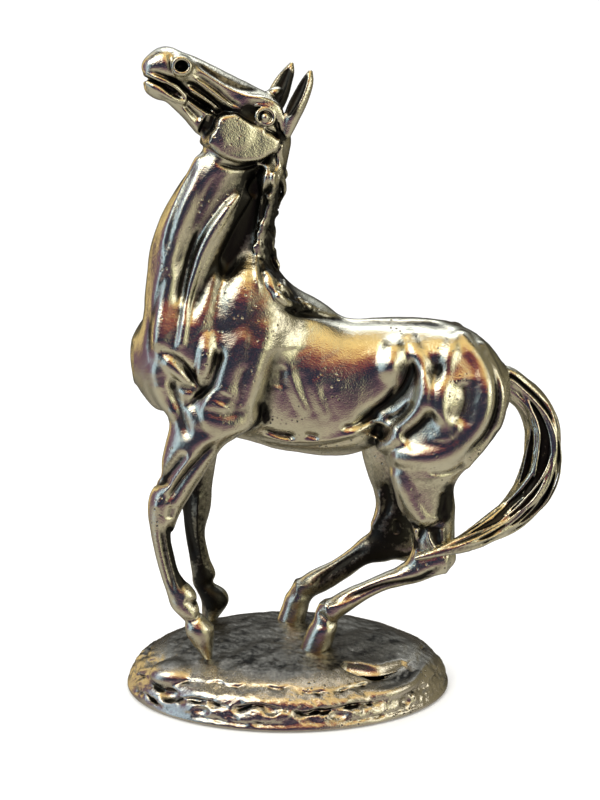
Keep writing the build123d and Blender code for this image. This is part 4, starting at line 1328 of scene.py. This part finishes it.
def cast(name, low, high, step, shapes, planes=(), bites=(), dirt_and_shade=0.0, hidden=()):
    """Models the clay of one bronze piece of the horse and casts it."""
    clay = Clay(low, high, step)
    for shape in shapes:
        shape(clay)
    clay.soften()
    casting(name, clay, planes, polished, (name, *hidden), bites, dirt_and_shade)


def build():
    """Every piece of the statue."""
    horse = (shape_body, shape_head, reliefs, shape_mane)
    cast("head", (-56, -26, HEAD_SEAM - PAST_SEAM), (14, 10, 250), 0.36, horse, [above(HEAD_SEAM)])
    cast(
        "neck", (-58, -24, NECK_SEAM - PAST_SEAM), (16, 27, HEAD_SEAM + PAST_SEAM), 0.46, horse,
        [above(NECK_SEAM), below(HEAD_SEAM)],
    )
    legs = [  # seam, lowest and highest x and y, step
        ("left_foreleg", FORELEG_SEAM, (-58, -26), (-12, 4), 0.42),
        ("right_foreleg", FORELEG_SEAM, (-50, 8), (-18, 30), 0.42),
        ("left_hind_leg", HIND_LEG_SEAM, (2, -20), (73, 4), 0.44),
        ("right_hind_leg", HIND_LEG_SEAM, (-9, 8), (64, 32), 0.44),
    ]
    for name, seam, low, high, step in legs:
        cast(
            name, (*low, PLINTH_TOP - PAST_SEAM), (*high, seam + PAST_SEAM), step,
            (shape_body, reliefs), [below(seam), above(PLINTH_TOP - SEAT)],
        )
    cast(
        "body", (-66, -30, HIND_LEG_SEAM - PAST_SEAM),
        (TAIL_SEAM + PAST_SEAM, 36, NECK_SEAM + PAST_SEAM), 0.52,
        (shape_body, reliefs, shape_mane, shape_tail),
        [above(HIND_LEG_SEAM), below(NECK_SEAM), ((TAIL_SEAM, 0, 0), (1, 0, 0))],
        bites=[(*above(FORELEG_SEAM), lambda place: place.x < -17)],
        hidden=("core_plugs", "seam_pins"),
    )
    cast(
        "tail", (44, -22, 52), (112, 12, 136), 0.4, (shape_tail,),
        bites=[((TAIL_SEAM, 0, 0), (-1, 0, 0), lambda place: place.z > 105)], dirt_and_shade=1.9,
    )
    clay = Clay((-69, -47, -3), (69, 47, 23), 0.5)
    shape_plinth(clay)
    casting("plinth", clay, (), rocky, ("plinth",), chased=False)


def finish_hardware():
    """Gives the CAD pieces that stay their materials."""
    carried = {
        "bottom_plate": plain_metal("sheet_brass", (0.66, 0.55, 0.30), 0.35),
        "plate_screws": plain_metal("brass_hardware", (0.70, 0.58, 0.32), 0.25),
        "felt_pad": felt(),
    }
    steel = plain_metal("steel_hardware", (0.60, 0.60, 0.60), 0.3)
    for hardware in ("studs", "washers", "nuts"):
        carried["fore_" + hardware] = steel
        carried["hind_" + hardware] = steel
    for node, material in carried.items():
        piece = frame["nodes"][node]
        piece.data.materials.clear()
        piece.data.materials.append(material)


flanks = Flanks((-68, -34, 45), (94, 36, 222), 1.6)
build()
finish_hardware()


# ---- floor, light and camera ----
def floor():
    """A plain pale sheet that rises behind the statue."""
    mesh = bpy.data.meshes.new("floor")
    half_width, front, back, bend, height = 3.0, -1.5, 1.0, 0.6, 2.5
    profile = [(front, 0.0), (back, 0.0)]
    for n in range(1, 13):
        angle = math.pi / 2 * n / 12
        profile.append((back + bend * math.sin(angle), bend * (1 - math.cos(angle))))
    profile.append((back + bend, height))
    verts = [(x, y, z) for y, z in profile for x in (-half_width, half_width)]
    faces = [(2 * n, 2 * n + 1, 2 * n + 3, 2 * n + 2) for n in range(len(profile) - 1)]
    mesh.from_pydata(verts, [], faces)
    mesh.shade_smooth()
    material, tree, shader = new_material("floor")
    tone = ramp(tree, noise(tree, 3, 2), [(0.3, grey(0.95)), (0.7, grey(0.97))])
    tree.links.new(tone, shader.inputs["Base Color"])
    shader.inputs["Roughness"].default_value = 0.8
    mesh.materials.append(material)
    sheet = bpy.data.objects.new("floor", mesh)
    bpy.context.scene.collection.objects.link(sheet)
    sheet.visible_glossy = False


def lamp(name, place, target, size, power, colour=(1, 1, 1)):
    """A square soft lamp aimed at a point; places are in metres."""
    data = bpy.data.lights.new(name, "AREA")
    data.shape = "SQUARE"
    data.size = size
    data.energy = power
    data.color = colour
    light = bpy.data.objects.new(name, data)
    light.location = place
    aim = Vector(target) - Vector(place)
    light.rotation_euler = aim.to_track_quat("-Z", "Y").to_euler()
    bpy.context.scene.collection.objects.link(light)


def around(tree, rise, run, wander):
    """The angle of a direction in one plane, from 0 to 1 for a full turn, a little wavy."""
    angle = maths(tree, "ARCTAN2", rise, run)
    return maths(tree, "ADD", maths(tree, "MULTIPLY_ADD", angle, 0.5 / math.pi, 0.5), wander)


# What the metal reflects, as (share of a full turn, colour). Both turns start and end behind the
# statue: the first goes round by way of below, the front and above, the second by way of the head's
# side, the front and the tail's side.
BANDS = [
    (0.00, (0.05, 0.045, 0.035)), (0.13, (0.35, 0.32, 0.27)), (0.25, (0.60, 0.57, 0.50)),
    (0.36, (0.60, 0.55, 0.45)), (0.402, (0.48, 0.43, 0.36)), (0.415, (0.26, 0.15, 0.21)),
    (0.453, (0.18, 0.10, 0.16)), (0.465, (0.015, 0.03, 0.06)), (0.55, (0.025, 0.045, 0.10)),
    (0.568, (0.42, 0.06, 0.07)), (0.605, (0.44, 0.09, 0.09)), (0.625, (1.40, 0.98, 0.40)),
    (0.70, (1.30, 0.98, 0.50)), (0.722, (0.03, 0.025, 0.02)), (0.785, (0.03, 0.028, 0.025)),
    (0.80, (1.15, 1.25, 1.45)), (0.91, (0.75, 0.80, 0.82)), (0.96, (0.07, 0.06, 0.05)),
]
WALLS = [
    (0.00, (0.03, 0.03, 0.02)), (0.08, (0.05, 0.04, 0.03)), (0.12, (1.3, 1.0, 0.5)),
    (0.16, (1.1, 0.85, 0.42)), (0.18, (0.18, 0.10, 0.16)), (0.27, (0.28, 0.18, 0.28)),
    (0.29, (0.80, 1.10, 1.45)), (0.345, (0.90, 1.20, 1.55)), (0.36, (0.04, 0.06, 0.10)),
    (0.41, (0.02, 0.03, 0.05)), (0.44, (0.30, 0.18, 0.25)), (0.56, (0.16, 0.12, 0.12)),
    (0.60, (1.25, 1.22, 0.80)), (0.65, (1.25, 1.24, 0.86)), (0.67, (0.05, 0.045, 0.035)),
    (0.80, (0.34, 0.30, 0.20)), (0.90, (0.10, 0.09, 0.06)),
]


def world():
    """A white room for the camera; soft dark and warm bands for the metal to reflect."""
    room = bpy.data.worlds.new("room")
    bpy.context.scene.world = room
    room.use_nodes = True
    tree = room.node_tree
    tree.nodes.clear()
    output = tree.nodes.new("ShaderNodeOutputWorld")
    background = tree.nodes.new("ShaderNodeBackground")
    tree.links.new(background.outputs[0], output.inputs[0])
    direction = tree.nodes.new("ShaderNodeTexCoord").outputs["Generated"]
    split = tree.nodes.new("ShaderNodeSeparateXYZ")
    tree.links.new(direction, split.inputs[0])
    x, z = split.outputs["X"], split.outputs["Z"]
    ahead = maths(tree, "MULTIPLY", split.outputs["Y"], -1.0)
    wander = swing(tree, noise(tree, 1.4, 3, coordinates=direction), 0.14)
    bands = ramp(tree, around(tree, z, ahead, wander), BANDS)
    walls = ramp(tree, around(tree, x, ahead, wander), WALLS)
    sideways = ramp(tree, maths(tree, "ABSOLUTE", x), [(0.38, grey(0)), (0.62, grey(1))])
    level = maths(tree, "MULTIPLY_ADD", z, 0.5, 0.5)
    waist = ramp(tree, level, [(0.30, grey(0)), (0.40, grey(1)), (0.82, grey(1)), (0.92, grey(0))])
    reflected = mix(tree, maths(tree, "MULTIPLY", sideways, waist), bands, walls)
    path = tree.nodes.new("ShaderNodeLightPath")
    seen = mix(tree, path.outputs["Is Glossy Ray"], (1.0, 1.0, 1.0), reflected)
    tree.links.new(seen, background.inputs["Color"])


def aim_camera():
    """A camera in front of the left side, looking slightly down."""
    data = bpy.data.cameras.new("camera")
    data.lens = 54.0
    data.sensor_width = 36.0
    data.clip_start = 0.01
    camera = bpy.data.objects.new("camera", data)
    camera.location = (0.005, -0.454, 0.223)
    camera.rotation_euler = (math.radians(90 - CAMERA_PITCH), 0, 0)
    bpy.context.scene.collection.objects.link(camera)
    bpy.context.scene.camera = camera


CAMERA_PITCH = 13.0
STATUE_MIDDLE = (0.01, 0.0, 0.12)
floor()
world()
lamp("key", (-0.55, -0.55, 0.85), STATUE_MIDDLE, 0.6, 4.4, (1.0, 1.0, 0.92))
lamp("fill", (0.85, -0.45, 0.35), STATUE_MIDDLE, 0.5, 1.8, (1.0, 0.95, 0.85))
lamp("top", (0.05, 0.25, 1.0), STATUE_MIDDLE, 0.6, 2.6)
aim_camera()
bpy.context.scene.view_settings.view_transform = "Standard"
